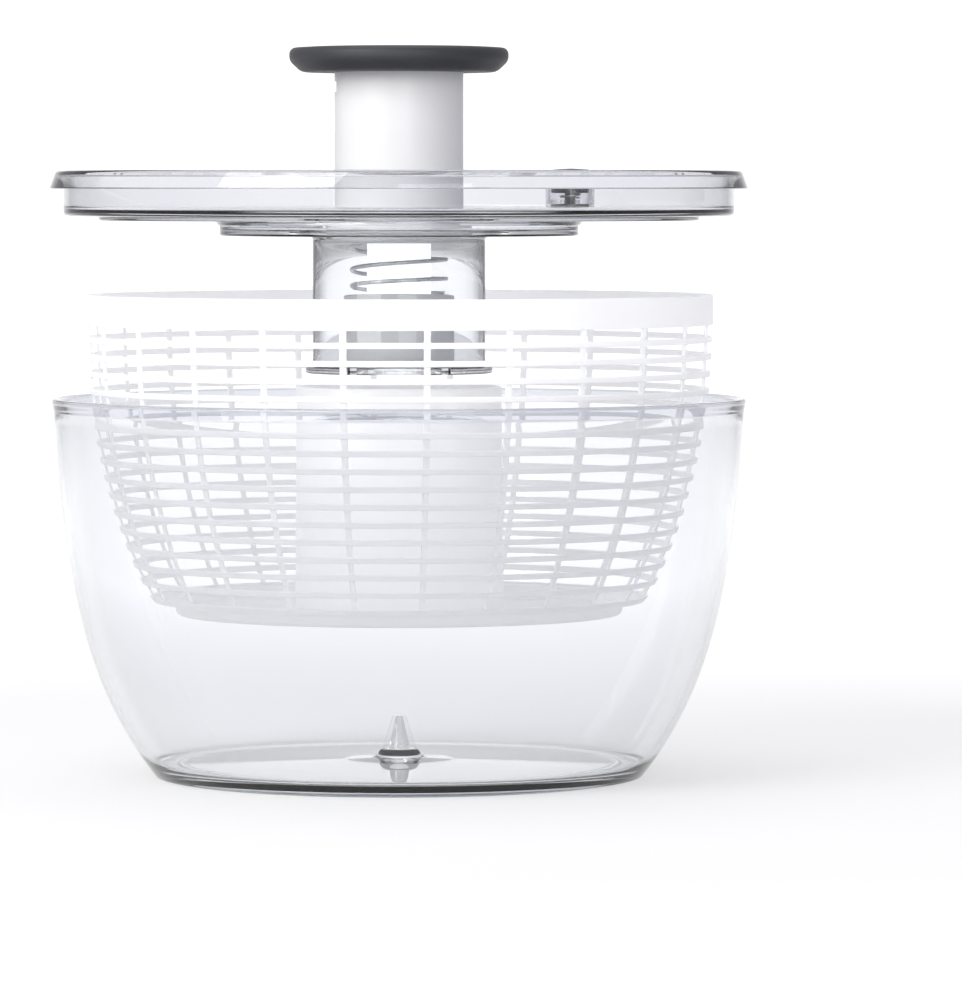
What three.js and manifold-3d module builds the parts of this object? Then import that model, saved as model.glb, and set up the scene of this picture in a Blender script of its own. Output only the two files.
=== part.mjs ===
// Pump-action salad spinner: a clear bowl, a slotted basket, and a lid with a plunger that spins the basket.
// Millimetres, +Z up. The origin is on the axis, at the surface that the bowl stands on.
// The lid and the basket are drawn lifted: they drop by lidRise and basketRise when the spinner is closed.

import * as THREE from 'three';
import { mergeVertices } from 'three/addons/utils/BufferGeometryUtils.js';
import Module from 'manifold-3d';

const wasm = await Module();
wasm.setup();

// ---------- Driving sizes ----------

const gap = 0.3; // between pieces that touch
const runGap = 0.35; // radial air of a sliding or turning fit

// Facets round a large, a middling and a small piece
const wide = 40;
const middling = 24;
const small = 12;

// Bowl
const bowlHeight = 146;
const bowlRadius = 133.5;
const bowlFootRadius = 93.8;
const bowlWall = 2.4;
const lipHeight = 4.8;
const lipFlare = 0.8; // of the lip's outer face, over its height
const lipWidth = 3.7;
const footHeight = 2.4;
const footRingWidth = 6;
const pivotTip = 2.5;
const pivotBase = 7;
const pivotHeight = 12.5;
const pivotMound = 11;

// Basket
const basketAir = 10.3; // between the bowl's wall and the basket's rim
const basketFloorAir = 12; // underside above the table when seated
const basketRise = 51;
const basketWall = 2;
const basketBase = 7.8; // how much smaller its base is than the bowl's foot
const bandHeight = 11.5;
const ringPitch = 6.64;
const ringHeight = 2.2;
const ribCount = 24;
const ribWidth = 2.6;
const ribTurn = 5; // degrees from the front
const towerAir = 1.35; // between its splines and the pump housing
const towerWall = 2.5;
const splineCount = 6;
const splineWidth = 3;
const splineDepth = 2.9;
const hubReach = 23.9; // how far the hub goes into the tower

// Lid
const lidRise = 80;
const flangeHeight = 7;
const flangeOverhang = 0.75;
const skirtWall = 2.6;
const plateDrop = 10.5; // from the flange's underside to the plate's
const plateThickness = 2.5;
const wellRadius = 69;
const wellDrop = 7.5; // from the plate's underside to the well's
const housingWall = 2.4;
const housingAir = 0.45; // round the bush's flange
const bushWall = 2.9;
const bushFlange = 2.4;
const housingLength = 49.9;

// Plunger
const tubeWall = 3;
const tubeGrip = 5.4; // of the tube left in the bush when the knob is up
const knobRadius = 42.1;
const knobHeight = 10;
const knobTravel = 52;
const rodWidth = 15;
const rodThickness = 3.2;
const rodTurns = 2; // turns of the driver over the knob's travel
const rodHeadLip = 0.2; // beyond the rod's edges

// Spring, sleeve and clutch
const springInset = 3.1; // inside the post's outer face
const springWire = 1.6;
const springTurns = 8.5;
const rodAir = 2.5; // between the rod's edges and the sleeve
const sleeveWall = 2.3;
const sleeveRise = 2.4; // above the well's floor
const nutFlange = 2;
const toothAir = 1.7; // between the sleeve and the teeth
const toothDepth = 0.8;
const ratchetWall = 0.7;
const hubWall = 1.9;
const retainerWidth = 1.6;
const postWall = 1.7;
const postHeight = 28.6;
const hubAir = 1.5; // between the hub and the tower
const hubFloor = 2.5;
const toothCount = 18;

// Brake and lock
const brakeAngle = 52.7; // degrees from +X
const brakeReach = 7.8; // inside the basket rim's outer edge
const buttonRadius = 7.7;
const buttonHeight = 9.8;
const buttonTravel = 2.5;
const sliderWidth = 10;
const sliderThickness = 3.4;
const sliderTravel = 2.2;
const notchDepth = 1.9;

// ---------- Heights and radii that follow ----------

// From the twisted rod outwards, each piece clears the last.
const rodHead = rodWidth / 2 + rodHeadLip;
const sleeveRadius = rodWidth / 2 + rodAir + sleeveWall;
const toothTip = sleeveRadius + toothAir;
const toothRoot = toothTip + toothDepth;
const ratchetRadius = toothRoot + ratchetWall;
const hubWallRadius = ratchetRadius + gap + hubWall;
const postRadius = hubWallRadius + gap + retainerWidth + postWall;
const tubeRadius = postRadius + runGap + 0.1 + tubeWall;
const springRadius = postRadius - springInset;
const bushRadius = tubeRadius + runGap + bushWall;
const housingRadius = bushRadius + bushFlange + housingAir + housingWall;
const towerRadius = housingRadius + towerAir + splineDepth + towerWall;
const hubRadius = towerRadius - towerWall - hubAir;

const lidZ = bowlHeight + gap + lidRise; // the flange's underside
const plateZ = lidZ - plateDrop;
const plateTop = plateZ + plateThickness;
const wellZ = plateZ - wellDrop;
const wellTop = wellZ + plateThickness;
const housingFoot = wellZ - housingLength;

const basketHeight = bowlHeight + gap - plateDrop - 1 - basketFloorAir;
const basketZ = basketFloorAir + basketRise;
const basketTop = basketZ + basketHeight;
const basketRim = bowlRadius - bowlWall - basketAir;
const basketFoot = bowlFootRadius - basketBase;

const hubZ = housingFoot - gap - hubFloor;
const towerHeight = hubZ - lidRise + hubReach - basketFloorAir;
const postTop = housingFoot + postHeight;
const sleeveTop = wellTop + sleeveRise;
const nutTop = sleeveTop + gap + nutFlange;

const coreZ = nutTop + knobTravel + 0.5; // underside of the knob's core
const knobZ = coreZ + 3;
const tubeLength = knobTravel + tubeGrip;
const tubeZ = knobZ + 1.9 - tubeLength;
const rodLead = knobTravel / rodTurns;

const sliderZ = wellTop + 1;
const notchZ = sliderZ - gap + knobTravel;
const bushTop = knobZ - knobTravel - gap;

// ---------- Solids ----------

const tau = 2 * Math.PI;
const rad = THREE.MathUtils.degToRad;
const v2 = (x, y) => new THREE.Vector2(x, y);

// A closed mesh with shared vertices, no collapsed faces, and its faces pointing out.
function welded(geometry) {
  const bare = new THREE.BufferGeometry();
  bare.setAttribute('position', geometry.getAttribute('position'));
  bare.setIndex(geometry.index);
  const shared = mergeVertices(bare, 1e-4);
  const faces = [];
  for (let i = 0; i < shared.index.count; i += 3) {
    const [a, b, c] = [0, 1, 2].map((k) => shared.index.getX(i + k));
    if (a !== b && b !== c && c !== a) faces.push([a, b, c]);
  }
  const positions = shared.getAttribute('position');
  const corner = (i) => new THREE.Vector3().fromBufferAttribute(positions, i);
  const volume = faces.reduce((sum, [a, b, c]) => sum + corner(a).dot(corner(b).cross(corner(c))), 0);
  const outward = volume < 0 ? faces.map(([a, b, c]) => [a, c, b]) : faces;
  return { vertProperties: new Float32Array(positions.array), triVerts: new Uint32Array(outward.flat()) };
}

const solid = (geometry) => new wasm.Manifold(new wasm.Mesh({ numProp: 3, ...welded(geometry) }));
const joined = (...solids) => solids.reduce((all, next) => all.add(next));
const cut = (body, ...tools) => tools.reduce((left, tool) => left.subtract(tool), body);

function geometryOf(body) {
  const { vertProperties, triVerts } = body.getMesh();
  const geometry = new THREE.BufferGeometry();
  geometry.setAttribute('position', new THREE.BufferAttribute(vertProperties, 3));
  geometry.setIndex(new THREE.BufferAttribute(triVerts, 1));
  const flat = geometry.toNonIndexed();
  flat.computeVertexNormals();
  return flat;
}

// Revolves an outline of [radius, z] about the Z axis. An outline off the axis closes on itself.
function turned(outline, segments = wide) {
  const points = outline.map(([r, z]) => v2(r, z));
  const onAxis = outline[0][0] === 0 && outline.at(-1)[0] === 0;
  if (!onAxis) points.push(points[0].clone());
  return solid(new THREE.LatheGeometry(points, segments).rotateX(Math.PI / 2));
}

const ring = (inner, outer, low, high, segments) =>
  turned([[inner, low], [outer, low], [outer, high], [inner, high]], segments);
const disc = (radius, low, high, segments) =>
  turned([[0, low], [radius, low], [radius, high], [0, high]], segments);

// A box from two corners, turned about the Z axis.
function block([x0, y0, z0], [x1, y1, z1], degrees = 0) {
  const box = new THREE.BoxGeometry(x1 - x0, y1 - y0, z1 - z0);
  box.translate((x0 + x1) / 2, (y0 + y1) / 2, (z0 + z1) / 2).rotateZ(rad(degrees));
  return solid(box);
}

// A flat outline given a height.
function plate(shape, low, high) {
  const geometry = new THREE.ExtrudeGeometry(shape, { depth: high - low, bevelEnabled: false });
  return solid(geometry.translate(0, 0, low));
}

// A twisted strip along the axis. It has the same phase at any height, so a nut cut by it is in mesh.
function twistedStrip(width, thickness, low, high) {
  const stepAngle = 15;
  const step = (rodLead * stepAngle) / 360;
  const steps = Math.round((high - low) / step);
  const start = Math.round(low / step) * step;
  const strip = new THREE.BoxGeometry(width, thickness, steps * step, 4, 1, steps);
  strip.translate(0, 0, start + (steps * step) / 2);
  const positions = strip.getAttribute('position');
  for (let i = 0; i < positions.count; i++) {
    const point = new THREE.Vector3().fromBufferAttribute(positions, i);
    point.applyAxisAngle(new THREE.Vector3(0, 0, 1), (tau * point.z) / rodLead);
    positions.setXYZ(i, point.x, point.y, point.z);
  }
  return solid(strip);
}

// A compression spring between two heights, with closer coils at its ends.
class Helix extends THREE.Curve {
  constructor(radius, turns, low, high) {
    super();
    Object.assign(this, { radius, turns, low, high });
  }

  getPoint(t) {
    const angle = tau * this.turns * t;
    const dead = 0.07 * Math.sin(tau * t);
    const z = this.low + (this.high - this.low) * (t - dead);
    return new THREE.Vector3(this.radius * Math.cos(angle), this.radius * Math.sin(angle), z);
  }
}

function coil(radius, wire, turns, low, high, sides = 5) {
  const section = new THREE.Shape();
  for (let i = 0; i < sides; i++) {
    const angle = (tau * i) / sides;
    const [x, y] = [(wire / 2) * Math.cos(angle), (wire / 2) * Math.sin(angle)];
    if (i) section.lineTo(x, y);
    else section.moveTo(x, y);
  }
  section.closePath();
  const path = new Helix(radius, turns, low + wire / 2, high - wire / 2);
  return solid(new THREE.ExtrudeGeometry(section, { extrudePath: path, steps: Math.round(turns * 10) }));
}

// Points along a wall that swells from its foot to its rim.
function swelling([r0, z0], [r1, z1], ease, count) {
  const at = ([across, up]) => v2(r0 + (r1 - r0) * across, z0 + (z1 - z0) * up);
  const curve = new THREE.CubicBezierCurve(v2(r0, z0), at(ease[0]), at(ease[1]), v2(r1, z1));
  return curve.getPoints(count);
}

// The same wall, moved inwards by its thickness.
function inside(points, thickness) {
  return points.map((point, i) => {
    const along = points[Math.min(i + 1, points.length - 1)].clone().sub(points[Math.max(i - 1, 0)]);
    along.normalize();
    return v2(point.x - along.y * thickness, point.y + along.x * thickness);
  });
}

// ---------- Bowl ----------

function bowl() {
  const wallTop = bowlHeight - lipHeight - 0.6;
  const rim = [bowlRadius - lipFlare, wallTop];
  const outer = swelling([bowlFootRadius, 0.6], rim, [[0.71, 0.25], [0.91, 0.56]], 8);
  const floor = footHeight + 3;
  const inner = inside(outer, bowlWall).filter((p) => p.y > floor + 0.8);
  const lip = [
    [bowlRadius, bowlHeight - 1.5],
    [bowlRadius - 1.3, bowlHeight],
    [bowlRadius - lipWidth + 0.9, bowlHeight],
    [bowlRadius - lipWidth, bowlHeight - 1],
    [bowlRadius - lipWidth + 0.6, bowlHeight - lipHeight],
  ];
  const groove = bowlFootRadius - 2.6;
  const outline = [
    ...outer.map((p) => [p.x, p.y]),
    ...lip,
    ...inner.reverse().map((p) => [p.x, p.y]),
    [inner.at(-1).x - 2.6, floor],
    [3 * pivotBase, floor + 1.6],
    [pivotBase + 2.6, floor + 2.2],
    [pivotBase, pivotMound],
    [0, pivotMound],
    [0, floor - bowlWall + 2.2],
    [pivotBase + 4, floor - bowlWall + 2],
    [groove - footRingWidth - 2.4, floor - bowlWall],
    [groove - footRingWidth - 2.4, 0.6],
    [groove - footRingWidth, 0.6],
    [groove - footRingWidth, footHeight + 0.4],
    [groove, footHeight + 0.4],
    [groove, 0.6],
  ];
  const start = outline.findIndex(([r]) => r === 0);
  const body = turned([...outline.slice(start + 1), ...outline.slice(0, start + 1)]);
  return joined(body, pivot());
}

// A finned cone on the bowl's floor, which the basket turns on.
function pivot() {
  const low = pivotMound - 1;
  const high = pivotMound + pivotHeight;
  const envelope = turned([[0, low], [pivotBase, low], [pivotTip, high], [0, high]], small);
  const core = turned([[0, low], [pivotBase * 0.62, low], [pivotTip * 0.6, high], [0, high]], small);
  const fin = (degrees) => block([-pivotBase, -0.9, low], [pivotBase, 0.9, high], degrees);
  return joined(core, joined(fin(0), fin(90)).intersect(envelope));
}

function footRing() {
  const outer = bowlFootRadius - 2.6 - gap;
  return ring(outer - footRingWidth + 2 * gap, outer, 0, footHeight + 0.1);
}

// ---------- Basket ----------

// The slotted wall: rings and ribs on a grid of angles and heights, with the spaces between left open.
function slottedWall(levels, ribHalf) {
  const pitch = 360 / ribCount;
  const angles = [];
  for (let i = 0; i < ribCount; i++) {
    const middle = -90 + ribTurn + pitch * i;
    angles.push(rad(middle - ribHalf), rad(middle + ribHalf));
  }
  const columns = angles.length;
  const spot = (level, side, column) => {
    const radius = levels[level].radius - (side ? basketWall : 0);
    const angle = angles[column % columns];
    return [radius * Math.cos(angle), radius * Math.sin(angle), levels[level].z];
  };
  const filled = (row, column) =>
    row >= 0 && row < levels.length - 1 && (levels[row].full || (column + columns) % 2 === 0);
  const corners = [];
  const quad = (a, b, c, d) => corners.push(...a, ...b, ...c, ...a, ...c, ...d);
  for (let row = 0; row < levels.length - 1; row++) {
    for (let column = 0; column < columns; column++) {
      if (!filled(row, column)) continue;
      const at = (up, side, across) => spot(row + up, side, column + across);
      quad(at(0, 0, 0), at(0, 0, 1), at(1, 0, 1), at(1, 0, 0));
      quad(at(0, 1, 0), at(1, 1, 0), at(1, 1, 1), at(0, 1, 1));
      if (!filled(row + 1, column)) quad(at(1, 0, 0), at(1, 0, 1), at(1, 1, 1), at(1, 1, 0));
      if (!filled(row - 1, column)) quad(at(0, 0, 0), at(0, 1, 0), at(0, 1, 1), at(0, 0, 1));
      if (!filled(row, column - 1)) quad(at(0, 0, 0), at(1, 0, 0), at(1, 1, 0), at(0, 1, 0));
      if (!filled(row, column + 1)) quad(at(0, 0, 1), at(0, 1, 1), at(1, 1, 1), at(1, 0, 1));
    }
  }
  const geometry = new THREE.BufferGeometry();
  geometry.setAttribute('position', new THREE.Float32BufferAttribute(corners, 3));
  return solid(geometry);
}

// Heights where the wall changes between ring and open rows, from its foot to its rim.
function wallLevels(low) {
  const bandZ = basketTop - bandHeight;
  const rowGap = ringPitch - ringHeight;
  const rings = Math.floor((bandZ - low - rowGap) / ringPitch);
  const foot = [basketFoot + 9.5, low];
  const curve = swelling(foot, [basketRim - 0.6, bandZ], [[0.45, 0.16], [1.05, 0.61]], 60);
  const radiusAt = (z) => {
    const next = Math.max(1, curve.findIndex((p) => p.y >= z - 1e-6));
    const [a, b] = [curve[next - 1], curve[next]];
    return a.x + ((b.x - a.x) * (z - a.y)) / (b.y - a.y);
  };
  const levels = [{ z: low, radius: foot[0], full: true }];
  for (let i = rings - 1; i >= 0; i--) {
    const ringZ = bandZ - ringPitch * (i + 1);
    if (levels.length === 1) levels.push({ z: ringZ - rowGap, radius: radiusAt(ringZ - rowGap), full: false });
    levels.push({ z: ringZ, radius: radiusAt(ringZ), full: true });
    levels.push({ z: ringZ + ringHeight, radius: radiusAt(ringZ + ringHeight), full: false });
  }
  levels.push({ z: bandZ, radius: basketRim, full: true }, { z: basketTop, radius: basketRim });
  return levels;
}

function basketFloor(wallZ) {
  const base = basketZ;
  const deck = 2.2;
  const tower = towerRadius - towerWall;
  const cupTop = pivotMound + pivotHeight - basketFloorAir + gap;
  return turned([
    [0, base + cupTop],
    [pivotTip + 0.6, base + cupTop],
    [pivotBase + 0.6, base],
    [basketFoot - 2, base],
    [basketFoot, base + 1.5],
    [basketFoot, base + 4.4],
    [basketFoot + 8, base + 5.2],
    [basketFoot + 9.6, wallZ],
    [basketFoot + 8.4, wallZ + 1.9],
    [basketFoot + 6, wallZ + 1.9],
    [basketFoot - 2.2, wallZ],
    [basketFoot - 2.2, base + deck],
    [towerRadius, base + deck],
    [towerRadius - 0.6, base + towerHeight],
    [tower, base + towerHeight],
    [tower, base + deck],
    [pivotBase + 3.4, base + deck],
    [pivotTip + 3, base + cupTop + deck],
    [0, base + cupTop + deck],
  ].reverse(), ribCount);
}

// Upright splines inside the tower, which the hub's notches slide over.
function towerSplines() {
  const low = basketZ + towerHeight - 33;
  const high = basketZ + towerHeight - 1.5;
  const inner = towerRadius - towerWall - splineDepth;
  const splines = [];
  for (let i = 0; i < splineCount; i++) {
    const half = splineWidth / 2;
    splines.push(block([inner, -half, low], [towerRadius - 1.2, half, high], (360 / splineCount) * i));
  }
  return splines;
}

function basket() {
  const wallZ = basketZ + 6.4;
  const ribHalf = THREE.MathUtils.radToDeg(ribWidth / 2 / basketRim);
  const drains = [];
  for (let i = 0; i < ribCount; i += 2) {
    const turn = -90 + ribTurn + (360 / ribCount) * (i + 0.5);
    drains.push(block([towerRadius + 8, -1.8, basketZ - 1], [basketFoot - 6, 1.8, basketZ + 4], turn));
  }
  const body = joined(slottedWall(wallLevels(wallZ), ribHalf), basketFloor(wallZ), ...towerSplines());
  return cut(body, ...drains);
}

// ---------- Lid ----------

const skirtRadius = bowlRadius - lipWidth - 0.95;
const flangeRadius = bowlRadius + flangeOverhang;
const brakeRadius = basketRim - brakeReach;
const brakeX = brakeRadius * Math.cos(rad(brakeAngle));
const brakeY = brakeRadius * Math.sin(rad(brakeAngle));
const atBrake = (body) => body.translate([brakeX, brakeY, 0]);

const padZ = basketTop + lidRise - basketRise + buttonTravel + gap;
const padTop = padZ + 2.6;
const ceilingZ = padTop + gap;
const ceilingTop = ceilingZ + 1.4;
const buttonZ = ceilingTop + buttonTravel + 0.2;

function lidCover() {
  const top = lidZ + flangeHeight;
  const skirtInner = skirtRadius - skirtWall;
  const rimOuter = wellRadius + gap;
  const cover = turned([
    [flangeRadius, lidZ],
    [flangeRadius - 2.3, top - 0.6],
    [flangeRadius - 3, top],
    [skirtInner + 0.8, top],
    [skirtInner, top - 0.8],
    [skirtInner, plateTop + 1],
    [skirtInner - 1, plateTop],
    [wellRadius - 5, plateTop],
    [wellRadius - 5, plateZ],
    [rimOuter, plateZ],
    [rimOuter, plateZ - 4],
    [rimOuter + 1, plateZ - 2.6],
    [rimOuter + 3.4, plateZ - 0.7],
    [rimOuter + 6.5, plateZ],
    [basketRim - 8, plateZ],
    [basketRim - 7.7, plateZ - 1.6],
    [basketRim - 5.5, plateZ - 1.6],
    [basketRim - 5.2, plateZ],
    [skirtRadius - 1.2, plateZ],
    [skirtRadius, plateZ + 1.2],
    [skirtRadius, lidZ],
    [skirtRadius, lidZ + flangeHeight - 2.4],
    [flangeRadius - 4, lidZ + flangeHeight - 2.4],
    [flangeRadius - 2.3, lidZ],
  ]);
  const bore = buttonRadius + runGap;
  const boss = atBrake(disc(bore + 1.8, plateZ, buttonZ + 2.5, small));
  const pocket = atBrake(disc(bore + 0.2, plateZ - 5, ceilingZ, small));
  const guide = atBrake(disc(bore, ceilingTop, buttonZ + 9, small));
  const stemHole = atBrake(disc(2.8, plateZ, buttonZ, small));
  return cut(joined(cover, boss), pocket, guide, stemHole);
}

// The clear cylinder with the well's floor on top. Two rails on the floor guide the lock slider.
function pumpHousing() {
  const rimTop = plateZ - gap;
  const bore = housingRadius - housingWall;
  const hole = bushRadius + gap;
  const shell = turned([
    [hole, wellZ],
    [hole, wellTop],
    [wellRadius - 2.5, wellTop],
    [wellRadius - 2.5, rimTop],
    [wellRadius, rimTop],
    [wellRadius, wellZ + 0.6],
    [wellRadius - 0.6, wellZ],
    [housingRadius + 3.8, wellZ],
    [housingRadius + 1.1, wellZ - 1.1],
    [housingRadius, wellZ - 3.8],
    [housingRadius, housingFoot],
    [bore, housingFoot],
    [bore, wellZ],
  ]);
  const from = -wellRadius + 8;
  const to = -hole - 1;
  const side = sliderWidth / 2 + 0.4;
  const high = sliderZ + sliderThickness * 0.8;
  const rail = (y) => block([from, y, wellTop - 0.5], [to, y + 2, high]);
  const track = block([from, -side - 1, wellTop - 0.5], [to, side + 1, sliderZ - gap]);
  return joined(shell, rail(side), rail(-side - 2), track);
}

function plungerBush() {
  const inner = tubeRadius + runGap;
  const neck = bushRadius;
  const flange = neck + bushFlange;
  const low = wellZ - gap - 2.1;
  const bush = turned([
    [inner, low],
    [flange, low],
    [flange, wellZ - gap],
    [neck, wellZ - gap],
    [neck, bushTop],
    [inner, bushTop],
  ], middling);
  const half = sliderWidth / 2 + 0.4;
  return cut(bush, block([-neck - 5, -half, sliderZ - gap], [-inner + 3, half, sliderZ + sliderThickness + gap]));
}

// The fixed post in the housing: the spring stands on it, and the clutch is inside.
function springPost() {
  const bore = postRadius - postWall;
  return turned([
    [hubWallRadius + gap, housingFoot],
    [housingRadius - housingWall - gap, housingFoot],
    [housingRadius - housingWall - gap, housingFoot + 2.6],
    [postRadius, housingFoot + 2.6],
    [postRadius, postTop],
    [sleeveRadius + runGap, postTop],
    [sleeveRadius + runGap, postTop - 2.6],
    [bore, postTop - 2.6],
    [bore, housingFoot + 2.6],
    [hubWallRadius + gap, housingFoot + 2.6],
  ], middling);
}

// ---------- Plunger ----------

function knobCap() {
  const bottom = knobZ;
  const top = knobZ + knobHeight;
  const hole = tubeRadius + gap;
  return turned([
    [0, top - 2],
    [knobRadius - 7.1, top - 2.4],
    [knobRadius - 7.1, bottom + 2.2],
    [hole, bottom + 2.2],
    [hole, bottom],
    [knobRadius - 4.9, bottom],
    [knobRadius - 2.2, bottom + 1.5],
    [knobRadius - 0.5, bottom + 4],
    [knobRadius, bottom + 6.2],
    [knobRadius - 0.4, bottom + 8],
    [knobRadius - 2.2, top - 0.7],
    [knobRadius - 8, top - 0.2],
    [0, top],
  ]);
}

function knobCore() {
  const flangeZ = knobZ + 2.5;
  const boss = tubeRadius - tubeWall - gap;
  return turned([
    [4.3, coreZ + 2.6],
    [rodHead + 2 * gap, coreZ + 2.6],
    [rodHead + 2 * gap, coreZ],
    [boss, coreZ],
    [boss, flangeZ],
    [knobRadius - 7.4, flangeZ],
    [knobRadius - 7.4, flangeZ + 2.5],
    [4.3, flangeZ + 2.5],
  ], middling);
}

function plungerTube() {
  const tube = ring(tubeRadius - tubeWall, tubeRadius, tubeZ, tubeZ + tubeLength);
  const high = notchZ + sliderThickness + 2 * gap;
  return cut(tube, block([-tubeRadius - 5, -6, notchZ], [-tubeRadius + notchDepth, 6, high]));
}

const nutBody = 8;
const stopHeight = 3.2;
const stopZ = sleeveTop - nutBody - gap - stopHeight;

function twistRod() {
  const stud = joined(disc(rodHead, coreZ + gap, coreZ + 2.3, small), disc(4, coreZ + 2.2, coreZ + 7.9, small));
  const strip = twistedStrip(rodWidth, rodThickness, stopZ - 1, coreZ + 1);
  const stub = disc(3, stopZ - 1.5, stopZ + 0.5, small);
  const trim = disc(rodWidth, stopZ + stopHeight - 0.6 + gap, coreZ + 1, small);
  const neck = disc(2.6, stopZ - 1.4, stopZ + stopHeight, small);
  const pilot = disc(1.7, coreZ + 2, coreZ + 9, small);
  return cut(joined(strip.intersect(trim), stud, neck, stub), pilot);
}

const rodStop = () => ring(2.9, sleeveRadius - sleeveWall - 0.6, stopZ + 0.8, stopZ + stopHeight - 0.7, small);

function rodScrew() {
  const head = coreZ + 8.3;
  return turned([
    [0, coreZ + 2.6],
    [1.4, coreZ + 2.6],
    [1.4, head],
    [6.2, head],
    [6.2, head + 0.9],
    [3.6, head + 1.5],
    [0, head + 1.5],
  ], small);
}

const springWasher = () => ring(springRadius - 2.7, tubeRadius - tubeWall - 0.7, coreZ - gap - 0.8, coreZ - gap, middling);
const returnSpring = () => coil(springRadius, springWire, springTurns, postTop + gap, coreZ - 2 * gap - 0.8);

// ---------- Driver and hub ----------

const driveSleeve = () => ring(sleeveRadius - sleeveWall, sleeveRadius, housingFoot, sleeveTop, middling);

function driveNut() {
  const bore = sleeveRadius - sleeveWall - gap;
  const low = sleeveTop - nutBody;
  const body = joined(disc(bore, low, sleeveTop + 1, small), disc(sleeveRadius, sleeveTop + gap, nutTop, middling));
  const clear = 4 * gap;
  return cut(body, twistedStrip(rodWidth + clear, rodThickness + clear, low - 3, nutTop + 3));
}

const clutchZ = housingFoot + 8;

// Sawteeth round a circle: each rises slowly and falls at once.
function sawtooth(count, low, high) {
  const points = [];
  for (let i = 0; i < count; i++) {
    for (const [radius, step] of [[low, i], [high, i + 0.96]]) {
      const angle = (tau * step) / count;
      points.push(v2(radius * Math.cos(angle), radius * Math.sin(angle)));
    }
  }
  return points;
}

function ratchetRing() {
  const shape = new THREE.Shape();
  shape.absarc(0, 0, ratchetRadius, 0, tau);
  shape.holes.push(new THREE.Path(sawtooth(toothCount, toothTip, toothRoot)));
  return plate(shape, clutchZ, clutchZ + 7);
}

// The pawls are drawn lifted, clear of the teeth, as they are while the knob returns.
function pawlRing() {
  const shape = new THREE.Shape(sawtooth(3, sleeveRadius + 0.7, toothTip - 0.3));
  const collar = disc(sleeveRadius + 1, clutchZ + 0.5, clutchZ + 6.5, middling);
  const bore = disc(sleeveRadius + gap, clutchZ, clutchZ + 7, middling);
  return cut(joined(plate(shape, clutchZ + 0.5, clutchZ + 6.5), collar), bore);
}

function driveHub() {
  const wallInner = ratchetRadius + gap;
  const groove = hubWallRadius - 0.9;
  const hub = turned([
    [sleeveRadius - sleeveWall - 0.1, hubZ],
    [hubRadius - 0.5, hubZ],
    [hubRadius, hubZ + 0.5],
    [hubRadius, hubZ + hubFloor - 0.5],
    [hubRadius - 0.5, hubZ + hubFloor],
    [hubWallRadius, hubZ + hubFloor],
    [hubWallRadius, housingFoot + 2.7],
    [groove, housingFoot + 2.7],
    [groove, housingFoot + 5.1],
    [hubWallRadius, housingFoot + 5.1],
    [hubWallRadius, clutchZ + 10],
    [wallInner, clutchZ + 10],
    [wallInner, hubZ + hubFloor],
    [sleeveRadius - sleeveWall - 0.1, hubZ + hubFloor],
  ], middling);
  const notches = [];
  for (let i = 0; i < splineCount; i++) {
    const half = splineWidth / 2 + 0.5;
    const depth = towerRadius - towerWall - splineDepth - 0.6;
    notches.push(block([depth, -half, hubZ - 1], [hubRadius + 1, half, hubZ + hubFloor + 1], (360 / splineCount) * i));
  }
  return cut(hub, ...notches);
}

const hubRetainer = () =>
  ring(hubWallRadius - 0.6, hubWallRadius + retainerWidth, housingFoot + 2.9, housingFoot + 4.8, middling);

// ---------- Brake and lock ----------

function brakeButton() {
  const top = buttonZ + buttonHeight;
  const bore = buttonRadius - 1.8;
  const stemEnd = padTop - 1.2;
  return atBrake(turned([
    [0, stemEnd],
    [2.2, stemEnd],
    [2.2, top - 1.9],
    [bore, top - 1.9],
    [bore, buttonZ],
    [buttonRadius, buttonZ],
    [buttonRadius, top - 0.9],
    [buttonRadius - 0.8, top - 0.2],
    [0, top],
  ], small));
}

function brakePad() {
  const pad = disc(buttonRadius + 0.1, padZ, padTop, small);
  return atBrake(cut(pad, disc(2.5, padTop - 1.5, padTop + 1, small)));
}

const brakeSpring = () =>
  atBrake(coil(4, 0.7, 4.5, ceilingTop + gap, buttonZ + buttonHeight - 1.9 - gap, 4));

function lockSlider() {
  const nose = -tubeRadius + notchDepth - gap - sliderTravel;
  const end = -wellRadius + 10;
  const half = sliderWidth / 2;
  const bar = block([end, -half, sliderZ], [nose, half, sliderZ + sliderThickness]);
  const grips = [];
  for (let i = 0; i < 4; i++) {
    const x = end + 2.6 * i;
    grips.push(block([x, -half, sliderZ + 1], [x + 1.5, half, sliderZ + sliderThickness + 2.2]));
  }
  return joined(bar, ...grips);
}

// ---------- Finishes and assembly ----------

const finish = (color, roughness, metalness = 0, opacity = 1) => () =>
  new THREE.MeshStandardMaterial({ color, roughness, metalness, opacity, transparent: opacity < 1 });

const clear = finish(0xe8eef2, 0.05, 0, 0.3);
const milky = finish(0xf0f0f2, 0.35, 0, 0.85);
const white = finish(0xf2f2f2, 0.4);
const acetal = finish(0xdcdcdc, 0.45);
const charcoal = finish(0x2c2e31, 0.7);
const black = finish(0x1c1d1f, 0.5);
const rubber = finish(0x9aa2a8, 0.85);
const steel = finish(0xb8bcc0, 0.3, 1);

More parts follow.
